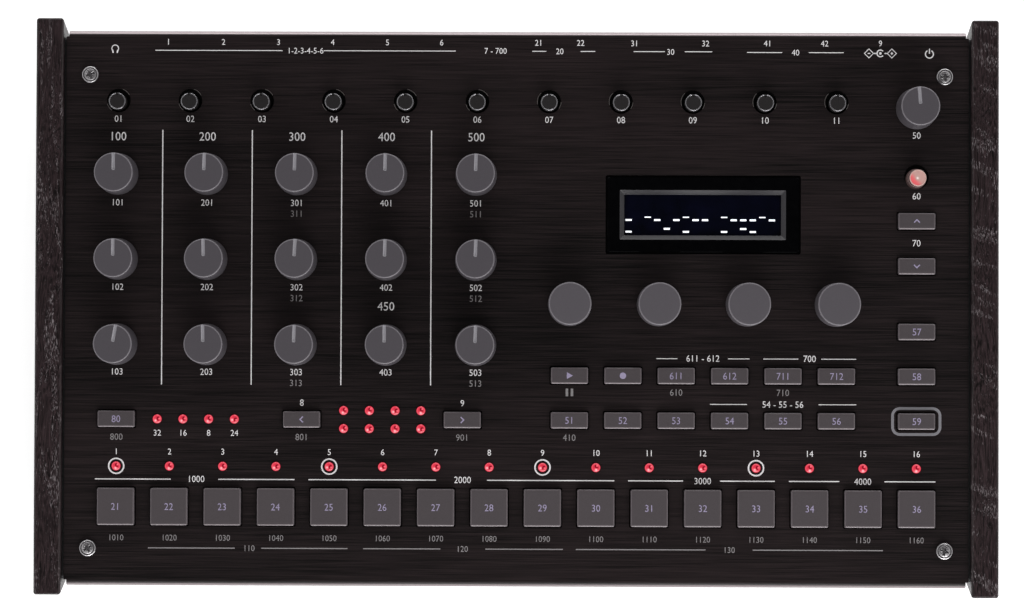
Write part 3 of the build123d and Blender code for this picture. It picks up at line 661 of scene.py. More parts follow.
# painted highlight: a pale metal is mixed in over the folds for the sheen they catch, stronger at the
# rear one: it falls off to nothing toward the panel, crisply at the rear fold and softly at the front
# one, and down each wall
fold_rise = -along[:, 2]
outside = np.minimum(along[:, 1], PANEL_DEPTH - along[:, 1])
at_rear = along[:, 1] > PANEL_DEPTH / 2
painted_fold_highlight = np.clip(np.where(at_rear, (FOLD_HIGHLIGHT_REACH - outside) / 0.35, (1.6 - outside) / 0.6), 0, 1)
painted_fold_highlight *= np.clip((2.0 - fold_rise) / 0.6, 0, 1) * np.where(at_rear, 1.0, 0.8)
# and a weaker painted highlight along the middle of each broken rim
painted_fold_highlight[(fold_rise > 0.005) & (fold_rise < RIM_BREAK - 0.005) & (outside > 2.7)] = 0.3
mesh.attributes.new("painted_fold_highlight", "FLOAT", "POINT").data.foreach_set("value", painted_fold_highlight.astype(np.float32))
finish_piece(mesh, [cover_finish], "case", crease=40.0, replaces=["top_panel"])
for polygon in mesh.polygons:
    on_panel = abs(normal.dot(polygon.normal)) > 0.99999
    on_wall = polygon.area > 400 * MM**2 and abs(polygon.normal.z) < 0.3
    if on_panel or on_wall:
        polygon.use_smooth = False

for hand in ("left", "right"):
    mesh, shape = copied_mesh(hand + "_cheek", hand + "_oak_cheek")
    shape.to_mesh(mesh)
    shape.free()
    piece = finish_piece(
        mesh, [oaks[hand]], "case", crease=30.0, replaces=[hand + "_cheek"]
    )
    softened = piece.modifiers.new("softened_edges", "BEVEL")
    softened.width, softened.segments = 0.25 * MM, 2
    softened.limit_method, softened.angle_limit = "ANGLE", radians(30)

# ---------------------------------------------------------------- screws


HEAD_RADIUS, SCREW_LENGTH = 2.8, 8.5


def screw_shape():
    """Pan head screw: a profile with a ring turned in its face, and a cross sunk in the middle.

    The face drops by the recess depth where the place is within half the slot's width of either
    arm's middle line and within the arm's reach, with soft shoulders.
    """
    profile = rounded_line([
        (1.4, -SCREW_LENGTH, 0), (1.4, 0.0, 0), (HEAD_RADIUS, 0.0, 0), (HEAD_RADIUS, 0.9, 0),
        (2.79, 1.36, 0.3), (2.42, 1.42, 0.06), (2.34, 0.95, 0.05), (2.02, 0.95, 0.05),
        (1.94, 1.36, 0.06), (1.7, 1.44, 0), (1.4, 1.53, 0), (1.1, 1.6, 0), (0.9, 1.64, 0),
        (0.7, 1.67, 0), (0.5, 1.69, 0), (0.3, 1.7, 0), (0.15, 1.7, 0),
    ], 3)
    shape = turned(profile, 72)
    x, y, z = shape["points"].T
    arm = np.minimum(np.abs(x), np.abs(y))
    reach = np.maximum(np.abs(x), np.abs(y))
    sunk = np.clip((0.4 - arm) / 0.12, 0, 1) * np.clip((1.4 - reach) / 0.2, 0, 1)
    shape["points"] = np.stack([x, y, np.where(z > 1.3, z - 1.0 * sunk, z)], axis=-1)
    return shape


screw_box = vertices_of("case_screws")
screw_along = off_panel(screw_box)
heads = screw_along[screw_along[:, 2] > 0.5]  # the panel's, whose heads stand above it
screw_across = heads[:, 0].max() - HEAD_RADIUS
screw_front, screw_rear = heads[:, 1].min() + HEAD_RADIUS, heads[:, 1].max() - HEAD_RADIUS
panel_screws = joined([
    moved(screw_shape(), hand * screw_across, up, 0.0, turn)
    for hand, up, turn in (
        (-1, screw_rear, 20), (1, screw_rear, 5), (-1, screw_front, 32), (1, screw_front, -15)
    )
])
make_piece("cover_screws", panel_screws, PANEL, [black_nickel], replaces=["case_screws"])
hidden = screw_box[screw_along[:, 2] < -12]  # the ones that hold the cheeks, far below the panel
side_screws = []
for hand in (-1, 1):
    ours = hidden[hidden[:, 0] * hand > 0]
    levels = np.sort(ours[:, 1])
    ends = levels[0] + HEAD_RADIUS * MM, levels[-1] - HEAD_RADIUS * MM
    for level in (ends[0], (levels[0] + levels[-1]) / 2, ends[1]):
        near = ours[np.abs(ours[:, 1] - level) < 3 * MM]
        middle_z = (near[:, 2].min() + near[:, 2].max()) / 2
        side_screws.append((hand, level, middle_z, np.abs(near[:, 0]).max()))
for number, (hand, y, z, tip) in enumerate(side_screws, start=1):
    seat = np.array([hand * (tip - SCREW_LENGTH * MM), y, z])
    side_plane = (
        seat, np.array([0, 1.0, 0]), np.array([0, 0, -1.0 * hand]), np.array([-1.0 * hand, 0, 0])
    )
    make_piece(f"cheek_screw_{number}", screw_shape(), side_plane, [black_nickel])

# ---------------------------------------------------------------- knobs

SHAFT_END = -8.8
KNOB_TOP = 12.98
GROOVE_WIDTH, GROOVE_DEPTH, GROOVE_START = 1.15, 0.4, 0.7


def rim_of(profile):
    """Which steps of a knob's profile round its top edge."""
    return (profile[:-1, 1] > 12.5) & (profile[1:, 0] > profile[:, 0].max() - 1.0)


def grooved_knob(around=52, across_groove=8):
    """Tapered knob with a round-bottomed pointer groove from near its axis out through its rim.

    Round each ring the points beside the groove keep to lines side by side: a line's angle is the arc
    sine of its distance from the groove's middle over the ring's radius. The other points share out
    the rest of the circle. In the groove the height is cut to the top less the depth times the root
    of one less the square of the distance over half the width.
    """
    top = (5.6, 4.6, 3.6, 2.6, 1.8, 1.2, 1.0, 0.85, GROOVE_START, 0.35)
    profile = rounded_line([
        (3.0, SHAFT_END, 0), (3.0, 0.5, 0), (7.1, 0.5, 0.15), (6.64, 11.2, 0), (6.575, 12.55, 0),
        (6.56, KNOB_TOP, 0.4), *((radius, KNOB_TOP, 0) for radius in top),
    ], 5)
    lines = np.linspace(-1, 1, across_groove + 1)
    held = np.maximum(profile[:, 0], GROOVE_START)[:, None]
    beside = np.arcsin(np.clip(lines[None] * GROOVE_WIDTH / 2 / held, -1, 1))
    share = np.linspace(0, 1, around - across_groove + 1)[None, 1:-1]
    rest = beside[:, -1:] + share * (2 * pi - beside[:, -1:] + beside[:, :1])
    angle = np.concatenate([beside, rest], axis=1)
    radius, rise = profile[:, 0, None], profile[:, 1, None]
    rings = np.stack([-radius * np.sin(angle), radius * np.cos(angle), rise + 0 * angle], axis=-1)
    inside = np.zeros(angle.shape)
    inside[:, : across_groove + 1] = np.sqrt(1 - lines**2)
    started = np.clip((radius - GROOVE_START - GROOVE_WIDTH / 2 * (1 - inside)) / 0.2, 0, 1)
    cut = GROOVE_DEPTH * inside * np.where(rise > 12, started, 0)
    rings[..., 2] = np.minimum(rings[..., 2], KNOB_TOP - cut)
    shape = skin(rings)
    marks = np.zeros((len(profile) - 1, angle.shape[1]), int)
    # the rounded rim takes the paler painted highlight
    marks[rim_of(profile)] = 2
    centres = (lines[1:] + lines[:-1]) / 2
    begins = GROOVE_START + GROOVE_WIDTH / 2 * (1 - np.sqrt(1 - centres**2)) - 0.05
    marks[:, :across_groove][(profile[:-1, 1:] > 12.4) & (profile[1:, :1] > begins)] = 1
    shape["marks"] = [marks.ravel(), 0]
    return shape


def plain_knob():
    """Endless encoder's cap: a nearly straight side, a rounded rim and a flat top."""
    profile = rounded_line([
        (3.0, SHAFT_END, 0), (3.0, 0.5, 0), (7.45, 0.5, 0.15), (7.29, 9.0, 0), (7.24, 12.5, 0),
        (7.22, KNOB_TOP, 0.45), (5.0, KNOB_TOP, 0), (2.5, KNOB_TOP, 0),
    ], 5)
    shape = turned(profile, 64)
    # the rounded rim takes the paler painted highlight
    shape["marks"] = [np.repeat(rim_of(profile).astype(int), 64), 0]
    return shape


SLIM_RADIUS, SLIM_TOP, SLIM_AROUND = 2.85, 4.8, 72
SUNK_TOP = [(radius, SLIM_TOP - 0.17, 0) for radius in (1.6, 1.0, 0.5, 0.2)]


def notch_of(x, y):
    """How fully a place is in the notch: all within 0.22 of its middle line, none beyond 0.36."""
    return np.clip((0.36 - np.abs(x)) / 0.14, 0, 1) * (y > 2.0)


def slim_knob():
    """Slim knob with its shaft in one: a thin rim round a flat top with a small dimple, and a notch.

    The notch lowers points of the rim whose place across is within half the notch's width.
    """
    profile = rounded_line([
        (SLIM_RADIUS, SHAFT_END, 0), (SLIM_RADIUS, 0.0, 0), (SLIM_RADIUS, SLIM_TOP - 0.4, 0),
        (SLIM_RADIUS, SLIM_TOP, 0.2), (2.58, SLIM_TOP, 0.06), (2.46, SLIM_TOP - 0.16, 0.06), *SUNK_TOP,
    ], 3)
    shape = turned(profile, SLIM_AROUND)
    x, y, z = shape["points"].T
    notched = notch_of(x, y)
    dimple = np.exp(-(x**2 + (y - 1.05) ** 2) / 0.1)
    top = z > SLIM_TOP - 0.5
    shape["points"] = np.stack([x, y, np.where(top, z - 0.45 * notched - 0.12 * dimple, z)], axis=-1)
    rim = (profile[:-1, 0] > 2.53) & (profile[:-1, 1] > SLIM_TOP - 0.3)
    spoke = np.abs((np.arange(SLIM_AROUND) + 0.5) * 360 / SLIM_AROUND - 90.0) > 7.5
    shape["marks"] = [(rim[:, None] & spoke[None]).astype(int).ravel(), 0]
    return shape


def stepped_knob():
    """Translucent knob whose barrel widens in three steps toward its foot, under the same top."""
    profile = rounded_line([
        (SLIM_RADIUS, SHAFT_END, 0), (SLIM_RADIUS, -3.6, 0), (3.45, -3.55, 0.1), (3.45, -2.6, 0),
        (3.45, -2.1, 0.2), (3.27, -2.0, 0.04), (3.27, -0.9, 0), (3.27, -0.4, 0.2), (3.08, -0.3, 0.04),
        (3.08, 0.9, 0), (3.08, 1.4, 0.2), (SLIM_RADIUS, 1.5, 0.04), (SLIM_RADIUS, SLIM_TOP - 0.7, 0),
        (SLIM_RADIUS, SLIM_TOP - 0.4, 0), (SLIM_RADIUS, SLIM_TOP, 0.25), (2.5, SLIM_TOP, 0.1),
        (2.4, SLIM_TOP - 0.14, 0.06), *SUNK_TOP,
    ], 3)
    shape = turned(profile, SLIM_AROUND)
    x, y, z = shape["points"].T
    notched = notch_of(x, y) * (z > SLIM_TOP - 0.5)
    shape["points"] = np.stack([x, y, z - 0.18 * notched], axis=-1)
    return shape


def knob_light(points):
    """Light in the translucent knob: red from below left, from the lamp in it, and a painted highlight
    over its shaft and on its edges.

    Redness is the share of the way to lower left past a tenth of the radius, squared off smoothly;
    the painted highlight over the shaft is a Gaussian of the distance from the axis. The barrel is
    darkened as painted shade but for its steps, each given a pale painted highlight by a Gaussian of
    the height from its edge.
    """
    x, y, z = points.T
    radius = np.hypot(x, y)
    toward = np.clip((-(x + 0.9 * y) / 3.8 + 0.1) / 0.75, 0, 1)
    red = 0.24 * toward**2 * (3 - 2 * toward)
    painted_glint = 0.5 * np.exp(-(((x + 0.15) ** 2 + (y + 0.1) ** 2) / 0.16))
    # painted highlight along the top edge
    edge = 0.12 * ((radius > 2.65) & (z > SLIM_TOP - 0.25))
    # painted shade on the barrel, with a painted highlight on each step
    steps = sum(np.exp(-(((z - step) / 0.12) ** 2)) for step in (-2.15, -0.45, 1.35))
    barrel = 0.12 * np.clip(steps, 0, 1)
    top = np.clip(0.57 - red * (radius < 2.5) + painted_glint + edge, 0, 1)
    return np.where(z < SLIM_TOP - 0.45, barrel, top)


pointer_knobs = [
    name.removesuffix("_turn") for name in joints
    if name.endswith("_knob_turn") and name != "tempo_knob_turn"
]
level_knobs = [f"level_knob_{number:02d}" for number in range(1, 12)]
for name in pointer_knobs:
    across, up, turn = seat_of(name)
    make_piece(name + "_cap", moved(grooved_knob(), across, up, 0.0, turn), PANEL,
               [soft_touch, groove_paint, knob_rim_painted_highlight], name, replaces=[name])
for name in [f"encoder_knob_{number}" for number in range(1, 5)]:
    across, up, _ = seat_of(name)
    make_piece(name + "_cap", moved(plain_knob(), across, up), PANEL, [encoder_coat, knob_rim_painted_highlight], name,
               replaces=[name])
for name in level_knobs:
    across, up, _ = seat_of(name)
    make_piece(name + "_stem", moved(slim_knob(), across, up), PANEL, [slim_knob_abs, rim_plating], name,
               replaces=[name], crease=40.0)
across, up, _ = seat_of("tempo_knob")
stem = stepped_knob()
make_piece("tempo_knob_stem", moved(stem, across, up), PANEL, [smoky_acrylic], "tempo_knob",
           replaces=["tempo_knob"], crease=40.0, glow=knob_light(stem["points"]))

# ---------------------------------------------------------------- keys and buttons

KEY_SIZE, BUTTON_HEIGHT = 12.7, 5.6
KEY_ROW, LOW_ROW, HIGH_ROW = 1.798, 3.745, 4.74
KEY_PROUD, BUTTON_PROUD = 1.9, 1.5
PATTERN_BUTTON, NEXT_BUTTON = -4.02, -1.007  # columns of two buttons that stand alone


def cap_shape(width, height, proud):
    """Moulded cap: outlines stacked up a profile of a stem, a flange, a straight side, a rounded edge
    and a top dished by a few hundredths of a millimetre.

    Marks: 0 the cap, 1 the stem and flange in the gap, black as painted shade, 2 the rounded edge, a
    painted highlight, 3 its front side, a brighter painted highlight.
    """
    edge = rounded_line([
        (0, -1.55, 0), (0, proud, 0.5), (1.2, proud - 0.01, 0), (2.4, proud - 0.04, 0),
    ], 5)
    outlines = [
        (oblong(2.4, 2.4, 0.2), -8.1), (oblong(2.4, 2.4, 0.2), -2.55),
        (oblong(width + 2.8, height + 2.8, 0.6), -2.55),
        (oblong(width + 2.8, height + 2.8, 0.6), -1.55),
    ]
    for inset, rise in edge:
        corner = max(0.55 - inset, 0.15)
        outlines.append((oblong(width - 2 * inset, height - 2 * inset, corner), rise))
    shape = skin(stacked(outlines))
    around = len(outlines[0][0])
    marks = np.zeros((len(outlines) - 1, around), int)
    # painted shade: the stem and flange in the gap take the flat black
    marks[:4] = 1
    # painted highlight on the rounded edge
    marks[5:10] = 2
    # brighter painted highlight on its front side
    marks[5:10, 12:17] = 3
    shape["marks"] = [marks.ravel(), 0]
    return shape


key_columns = np.arange(16) - COLUMNS_TO_SIDE
banks = {
    f"step_keys_{first + 1}_{first + 4}": [(key_columns[i], KEY_ROW) for i in range(first, first + 4)]
    for first in (0, 4, 8, 12)
}
for name, pair in zip(("transport_buttons", "pattern_buttons", "kit_buttons"), ((1, 2), (3, 4), (5, 6))):
    banks[name] = [(c, r) for r in (HIGH_ROW, LOW_ROW) for c in pair]
banks["cursor_buttons"] = [(c, LOW_ROW) for c in (-COLUMNS_TO_SIDE, PATTERN_BUTTON, NEXT_BUTTON)]
banks["side_buttons"] = [(COLUMNS_TO_SIDE, r) for r in (8.199, 7.196, 5.735, HIGH_ROW, LOW_ROW)]
for name, places in banks.items():
    is_key = name.startswith("step")
    height, proud = (KEY_SIZE, KEY_PROUD) if is_key else (BUTTON_HEIGHT, BUTTON_PROUD)
    cap = cap_shape(KEY_SIZE, height, proud)
    caps = joined([moved(cap, c * column, r * row) for c, r in places])
    make_piece(name + "_caps", caps, PANEL, [key_rubber, gap_painted_shade, key_edge_painted_highlight, key_front_painted_highlight], name,
               replaces=[name])

# ---------------------------------------------------------------- lamps

LENS_RADIUS = 1.58  # 0.011 more than the flats of its ten-sided hole leave
LAMP_ROW = 2.696
METER_COLUMN, PAGE_COLUMN, LAMP_STEP = -6.733, -3.234, 0.483  # first lamp of each small group
PAGE_GAP = 6.15


def lamp_shape():
    """Round lamp: a post under a dome whose rise falls off as the radius to the power of 2.5."""
    radius = np.array([
        1.5, 1.5, LENS_RADIUS, LENS_RADIUS, 1.54, 1.45, 1.3, 1.15, 1.0, 0.85, 0.7, 0.55, 0.4, 0.25, 0.12,
    ])
    rise = np.append([-10.4, -1.7, -1.6], 1.0 - 0.62 * (radius[3:] / LENS_RADIUS) ** 2.5)
    return turned(np.column_stack([radius, rise]), 36)


def lamp_glow(points, turn):
    """Brightness over a lamp: a dark rim inside which a pale ring runs, a dark crescent round the chip,
    a hot spot beside it and a painted highlight on the dome. Ring, crescent, spot and highlight are
    Gaussians of the distance from each."""
    c, s = cos(radians(turn)), sin(radians(turn))
    x, y = points[:, 0] * c + points[:, 1] * s, points[:, 1] * c - points[:, 0] * s
    radius = np.hypot(x, y)
    crescent = np.exp(-(((np.hypot(x - 0.55, y - 0.15) - 0.5) / 0.2) ** 2))
    crescent *= np.clip((0.75 - x) / 0.3, 0, 1)
    spot = np.exp(-(((x + 0.4) / 0.5) ** 2 + ((y + 0.6) / 0.5) ** 2))
    # painted highlight on the dome
    painted_glint = np.exp(-(((x - 0.75) / 0.3) ** 2 + ((y - 0.25) / 0.3) ** 2))
    rim = np.clip((radius - 1.4) / 0.16, 0, 1)
    ring = np.exp(-(((radius - 1.3) / 0.13) ** 2))
    return np.clip(0.46 - 0.46 * crescent + 0.5 * spot + 0.34 * painted_glint + 0.16 * ring - 0.34 * rim, 0, 1)


lamp_places = [(c * column, LAMP_ROW * row) for c in key_columns]
lamp_places += [((METER_COLUMN + LAMP_STEP * i) * column, LOW_ROW * row) for i in range(4)]
lamp_places += [
    ((PAGE_COLUMN + LAMP_STEP * i) * column, LOW_ROW * row + hand * PAGE_GAP / 2)
    for hand in (-1, 1)
    for i in range(4)
]
lens = lamp_shape()
turns = np.random.default_rng(5).uniform(-40, 40, len(lamp_places))
lamps = joined([moved(lens, across, up) for across, up in lamp_places])
glow = np.concatenate([lamp_glow(lens["points"], turn) for turn in turns])
make_piece("lamp_lenses", lamps, PANEL, [red_lens], replaces=["indicator_lamps"],
           crease=60.0, glow=glow)

# painted highlight: two bright arcs on parts of each slim knob's hole rim, where it would catch the light
LEVEL_LEAD, LEVEL_HOLE = 0.55, 4.05
highlight_arcs = []
for index, name in enumerate(level_knobs):
    across, up, _ = seat_of(name)
    swing, later = index / 10, index > 5
    for start, sweep in ((28 + 105 * later, 42 + 30 * swing), (195 + 130 * later, 40 - 12 * swing)):
        edge = stroke(circle(LEVEL_HOLE, start, sweep, 14), 0.16, -0.1, 0.012)
        highlight_arcs.append(moved(edge, across, up + LEVEL_LEAD))
make_piece("painted_hole_rim_highlights", joined(highlight_arcs), PANEL, [hole_rim_painted_highlight])

# ---------------------------------------------------------------- display

display_centre = (3.5 * column, 8.33 * row)
window_shift = (-0.12, -0.06)
window = oblong(53.5, 13.9, 0.2) + window_shift
# from the window's lower edge out under the cover, up through it, over a step and in to the window
bezel_rings = [
    (window, -2.5), (oblong(69.5, 29.9, 1.0), -2.5), (oblong(69.5, 29.9, 1.0), -1.5),
    (oblong(66.1, 26.5, 0.8), -1.5), (oblong(66.1, 26.5, 0.8), -0.5), (oblong(66.0, 26.4, 0.75), -0.42),
    (oblong(65.1, 25.5, 0.9), -0.42), (oblong(65.1, 25.5, 0.9), -0.1), (oblong(64.9, 25.3, 0.85), 0.0),
    (oblong(56.6, 16.9, 0.3) + window_shift, 0.0), (window, -1.55),
]
bezel = skin(stacked(bezel_rings), ends="joined")
on_slope = np.arange(len(bezel_rings)) > 8  # the last two steps line the window
bezel["marks"] = [np.repeat(on_slope.astype(int), len(window)), 0]
make_piece("display_frame", moved(bezel, *display_centre), PANEL, [bezel_gloss, window_slope_grey],
           replaces=["display_bezel"], crease=25.0)

GLASS_TOP = -2.5
DASH_WIDTH, DASH_STEP, FIRST_DASH = 2.13, 3.26, -25.33
lines_of_dots = {
    0: (1, 4, 6, 8, 9, 12, 13, 14, 16),
    1: (3, 7, 11, 15),
    2: (5, 13),
    3: (1, 7, 11, 14),
}
line_ups = (-1.72, -0.75, -4.7, -5.72)
dashes = []
for line, places in lines_of_dots.items():
    for place in places:
        thick = 0.38 if line == 1 else 0.62
        dash = plate(DASH_WIDTH, thick, GLASS_TOP + 0.005, GLASS_TOP + 0.03)
        across = display_centre[0] + FIRST_DASH + DASH_STEP * (place - 1)
        dashes.append(moved(dash, across, display_centre[1] + line_ups[line]))
make_piece("display_dots", joined(dashes), PANEL, [display_light])

# ---------------------------------------------------------------- printing


def set_in_type(text):
    """Object that holds a text in the built-in face at size one, and its curve."""
    letters = bpy.data.curves.new("letters", "FONT")
    letters.body, letters.align_x, letters.resolution_u = text, "CENTER", 3
    letters.space_character = 1.02
    holder = bpy.data.objects.new("letters", letters)
    bpy.context.scene.collection.objects.link(holder)
    bpy.context.view_layer.update()
    return holder, letters


def clear_type(holder, letters):
    """Removes what set_in_type made."""
    bpy.data.objects.remove(holder)
    bpy.data.curves.remove(letters)


figure_one = set_in_type("1")
CAP_OF_FACE = figure_one[0].dimensions.y  # height of a figure at size one
clear_type(*figure_one)
NARROWED = 0.92


def lettering(entries, low, high):
    """Shapes of numbers set in the built-in face: each entry is text, across, up and cap height.

    The flat figures are extruded, narrowed, and scaled by the cap height over the face's own.
    """
    shapes = []
    for text, across, up, cap in entries:
        holder, letters = set_in_type(text)
        flat = bpy.data.meshes.new_from_object(holder)
        rim = bmesh.new()
        rim.from_mesh(flat)
        bmesh.ops.remove_doubles(rim, verts=rim.verts, dist=1e-5)
        raised = bmesh.ops.extrude_face_region(rim, geom=rim.faces[:])
        for item in raised["geom"]:
            if isinstance(item, bmesh.types.BMVert):
                item.co.z = 1.0
        bmesh.ops.recalc_face_normals(rim, faces=rim.faces)
        bmesh.ops.triangulate(rim, faces=rim.faces)
        points = np.array([vert.co for vert in rim.verts])
        faces = np.array([[vert.index for vert in face.verts] for face in rim.faces])
        rim.free()
        scale = cap / CAP_OF_FACE
        points = np.column_stack([
            points[:, 0] * scale * NARROWED + across,
            (points[:, 1] - CAP_OF_FACE / 2) * scale + up,
            np.where(points[:, 2] > 0.5, high, low),
        ])
        shapes.append({"points": points, "faces": [np.zeros((0, 4), int), faces], "marks": [0, 0]})
        clear_type(holder, letters)
        bpy.data.meshes.remove(flat)
    return joined(shapes)


HEADER, LABEL, LAMP_LABEL, SMALL = 2.85, 2.15, 2.0, 1.95  # cap heights
KNOB_STEP = 1.684
knob_columns = [seat_of("bass_drive_knob")[0] + i * KNOB_STEP * column for i in range(5)]
level_columns = [seat_of(name)[0] for name in level_knobs]
side = COLUMNS_TO_SIDE * column
pattern_across, next_across = PATTERN_BUTTON * column, NEXT_BUTTON * column

# the knobs: a number over each column, one under each knob, and a second, grey one under some
white = [(f"{i:02d}", across, 159.7, LABEL) for i, across in enumerate(level_columns, start=1)]
white += [(f"{i}00", across, 153.7, HEADER) for i, across in enumerate(knob_columns, start=1)]
white += [("450", knob_columns[3], 95.9, HEADER)]
grey = []
for line, up in enumerate((131.1, 102.3, 73.4), start=1):
    for i, across in enumerate(knob_columns, start=1):
        white.append((f"{i}0{line}", across, up, LABEL))
        if i in (3, 5):
            grey.append((f"{i}1{line}", across, up - 3.7, LABEL))
white += [("50", side, 154.7, LABEL), ("60", side, 134.0, LABEL), ("70", side, 118.0, LABEL)]

# the keys, lamps and buttons
white += [(str(i), c * column, 46.2, LAMP_LABEL) for i, c in enumerate(key_columns, start=1)]
white += [
    (text, (METER_COLUMN + LAMP_STEP * i) * column, 52.6, LAMP_LABEL)
    for i, text in enumerate(("32", "16", "8", "24"))
]
white += [("8", pattern_across, 63.0, LABEL), ("9", next_across, 63.0, LABEL)]
grey += [
    ("800", -side, 51.2, LABEL), ("801", pattern_across, 51.3, LABEL), ("901", next_across, 51.3, LABEL),
]
white += [(text, c * column, up, LABEL) for text, c, up in (
    ("611 - 612", 3.5, 78.5), ("700", 5.5, 78.5), ("54 - 55 - 56", 5, 62.9),
    ("1000", -6, 36.9), ("2000", -1, 36.9), ("3000", 3.5, 36.8), ("4000", 6.5, 36.8),
)]
grey += [(text, c * column, up, LABEL) for text, c, up in (
    ("610", 3, 66.9), ("710", 5, 66.9), ("410", 1, 51.4),
)]
grey += [(f"{1000 + 10 * i}", c * column, 16.9, SMALL) for i, c in enumerate(key_columns, start=1)]
grey += [(text, c * column, 13.4, SMALL) for text, c in (("110", -5), ("120", -1), ("130", 4))]

# the sockets along the rear
white += [(text, across, up, SMALL) for text, across, up in (
    ("1", -119.1, 186.0), ("2", -100.3, 186.0), ("3", -81.5, 186.0), ("4", -63.0, 186.0),
    ("5", -44.3, 186.0), ("6", -25.8, 186.0), ("1-2-3-4-5-6", -72.3, 183.1), ("7 - 700", -7.4, 183.2),
    ("21", 7.3, 186.0), ("22", 21.6, 186.0), ("20", 14.5, 183.1),
    ("31", 40.0, 185.9), ("32", 64.2, 185.9), ("30", 52.3, 183.0),
    ("41", 85.4, 186.0), ("42", 104.8, 186.0), ("40", 94.9, 182.9), ("9", 123.8, 186.1),
)]

FINE, MEDIUM = 0.27, 0.36  # widths of lines
FOOT_LINE = 13.4
white_shapes = [bar(*line, FINE) for line in (
    (-123.6, -80.1, 183.1), (-66.1, -21.0, 183.1), (5.1, 9.9, 183.1), (21.6, 26.6, 183.1),
    (39.7, 50.4, 183.1), (57.1, 66.5, 183.1), (78.3, 90.3, 182.9), (99.4, 111.3, 182.9),
    (47.7, 54.9, 78.4), (72.1, 79.4, 78.4), (84.1, 96.0, 78.4), (103.8, 115.7, 78.4),
    (66.0, 78.6, 62.9), (102.9, 115.8, 62.9),
)]
white_shapes += [bar(start, end, 36.8, MEDIUM) for start, end in (
    (-143.4, -117.5), (-101.3, -75.4), (-70.6, -27.2), (-9.8, 33.5), (38.2, 56.9), (69.5, 88.1),
    (92.9, 110.0), (125.4, 142.7),
)]
grey_shapes = [bar(start, end, FOOT_LINE, MEDIUM) for start, end in (
    (-125.2, -95.6), (-86.6, -57.2), (-51.9, -25.6), (-10.3, 16.1), (20.5, 64.6), (80.6, 124.9),
)]
for left, right in zip(knob_columns, knob_columns[1:]):
    white_shapes.append(moved(plate(MEDIUM, 86.9, INK_LOW, INK_HIGH), (left + right) / 2, 112.45))
for c in key_columns[::4]:
    white_shapes.append(moved(band(circle(2.56), 0.5), c * column, LAMP_ROW * row))
# headphone sign: a bow over two ear pieces
HEADPHONE_ACROSS = -137.3
white_shapes.append(moved(stroke(circle(1.14, -28, 236, 26), 0.3), HEADPHONE_ACROSS, 183.72))
for hand in (-1, 1):
    ear = plate(0.48, 1.15, INK_LOW, INK_HIGH, 0.2)
    white_shapes.append(moved(ear, HEADPHONE_ACROSS + hand * 0.8, 182.72, 0.0, -hand * 14))
# power sign: an open ring and a stroke
POWER_SIGN_ACROSS = 140.5
white_shapes.append(moved(stroke(circle(1.35, 120, 300, 30), 0.38), POWER_SIGN_ACROSS, 182.5))
white_shapes.append(moved(plate(0.4, 1.7, INK_LOW, INK_HIGH, 0.1), POWER_SIGN_ACROSS, 183.5))
# polarity sign: two diamonds joined through an open ring, minus in one and plus in the other
POLARITY = (123.8, 182.7)
for hand in (-1, 1):
    outer, inner = POLARITY[0] + hand * 3.9, POLARITY[0] + hand * 1.9
    white_shapes.append(moved(band(circle(1.55, 0, 360, 4), 0.35), outer, POLARITY[1]))
    white_shapes.append(bar(outer - 0.45, outer + 0.45, POLARITY[1], 0.3))
    white_shapes.append(bar(inner - 0.55, inner + 0.55, POLARITY[1], 0.35))
plus_bar = plate(0.3, 0.9, INK_LOW, INK_HIGH + 0.002, 0.02)
white_shapes.append(moved(plus_bar, POLARITY[0] + 3.9, POLARITY[1]))
white_shapes.append(moved(stroke(circle(1.15, 40, 280, 24), 0.38), *POLARITY))
white_shapes.append(moved(plate(0.9, 0.9, INK_LOW, INK_HIGH + 0.002, 0.44), *POLARITY))
# pause sign: two bars
for hand in (-1, 1):
    grey_shapes.append(moved(plate(0.85, 2.6, INK_LOW, INK_HIGH), column + hand * 0.85, 66.8))

printed_frame = moved(band(oblong(16.1, 8.8, 2.4, 6), 0.95), side, LOW_ROW * row)
for name, shape, ink in (
    ("white_printing", joined(white_shapes + [lettering(white, INK_LOW, INK_HIGH)]), white_ink),
    ("frame_printing", printed_frame, frame_ink),
    ("grey_printing", joined(grey_shapes + [lettering(grey, INK_LOW, INK_HIGH)]), grey_ink),
):
    make_piece(name, shape, PANEL, [ink], crease=20.0)

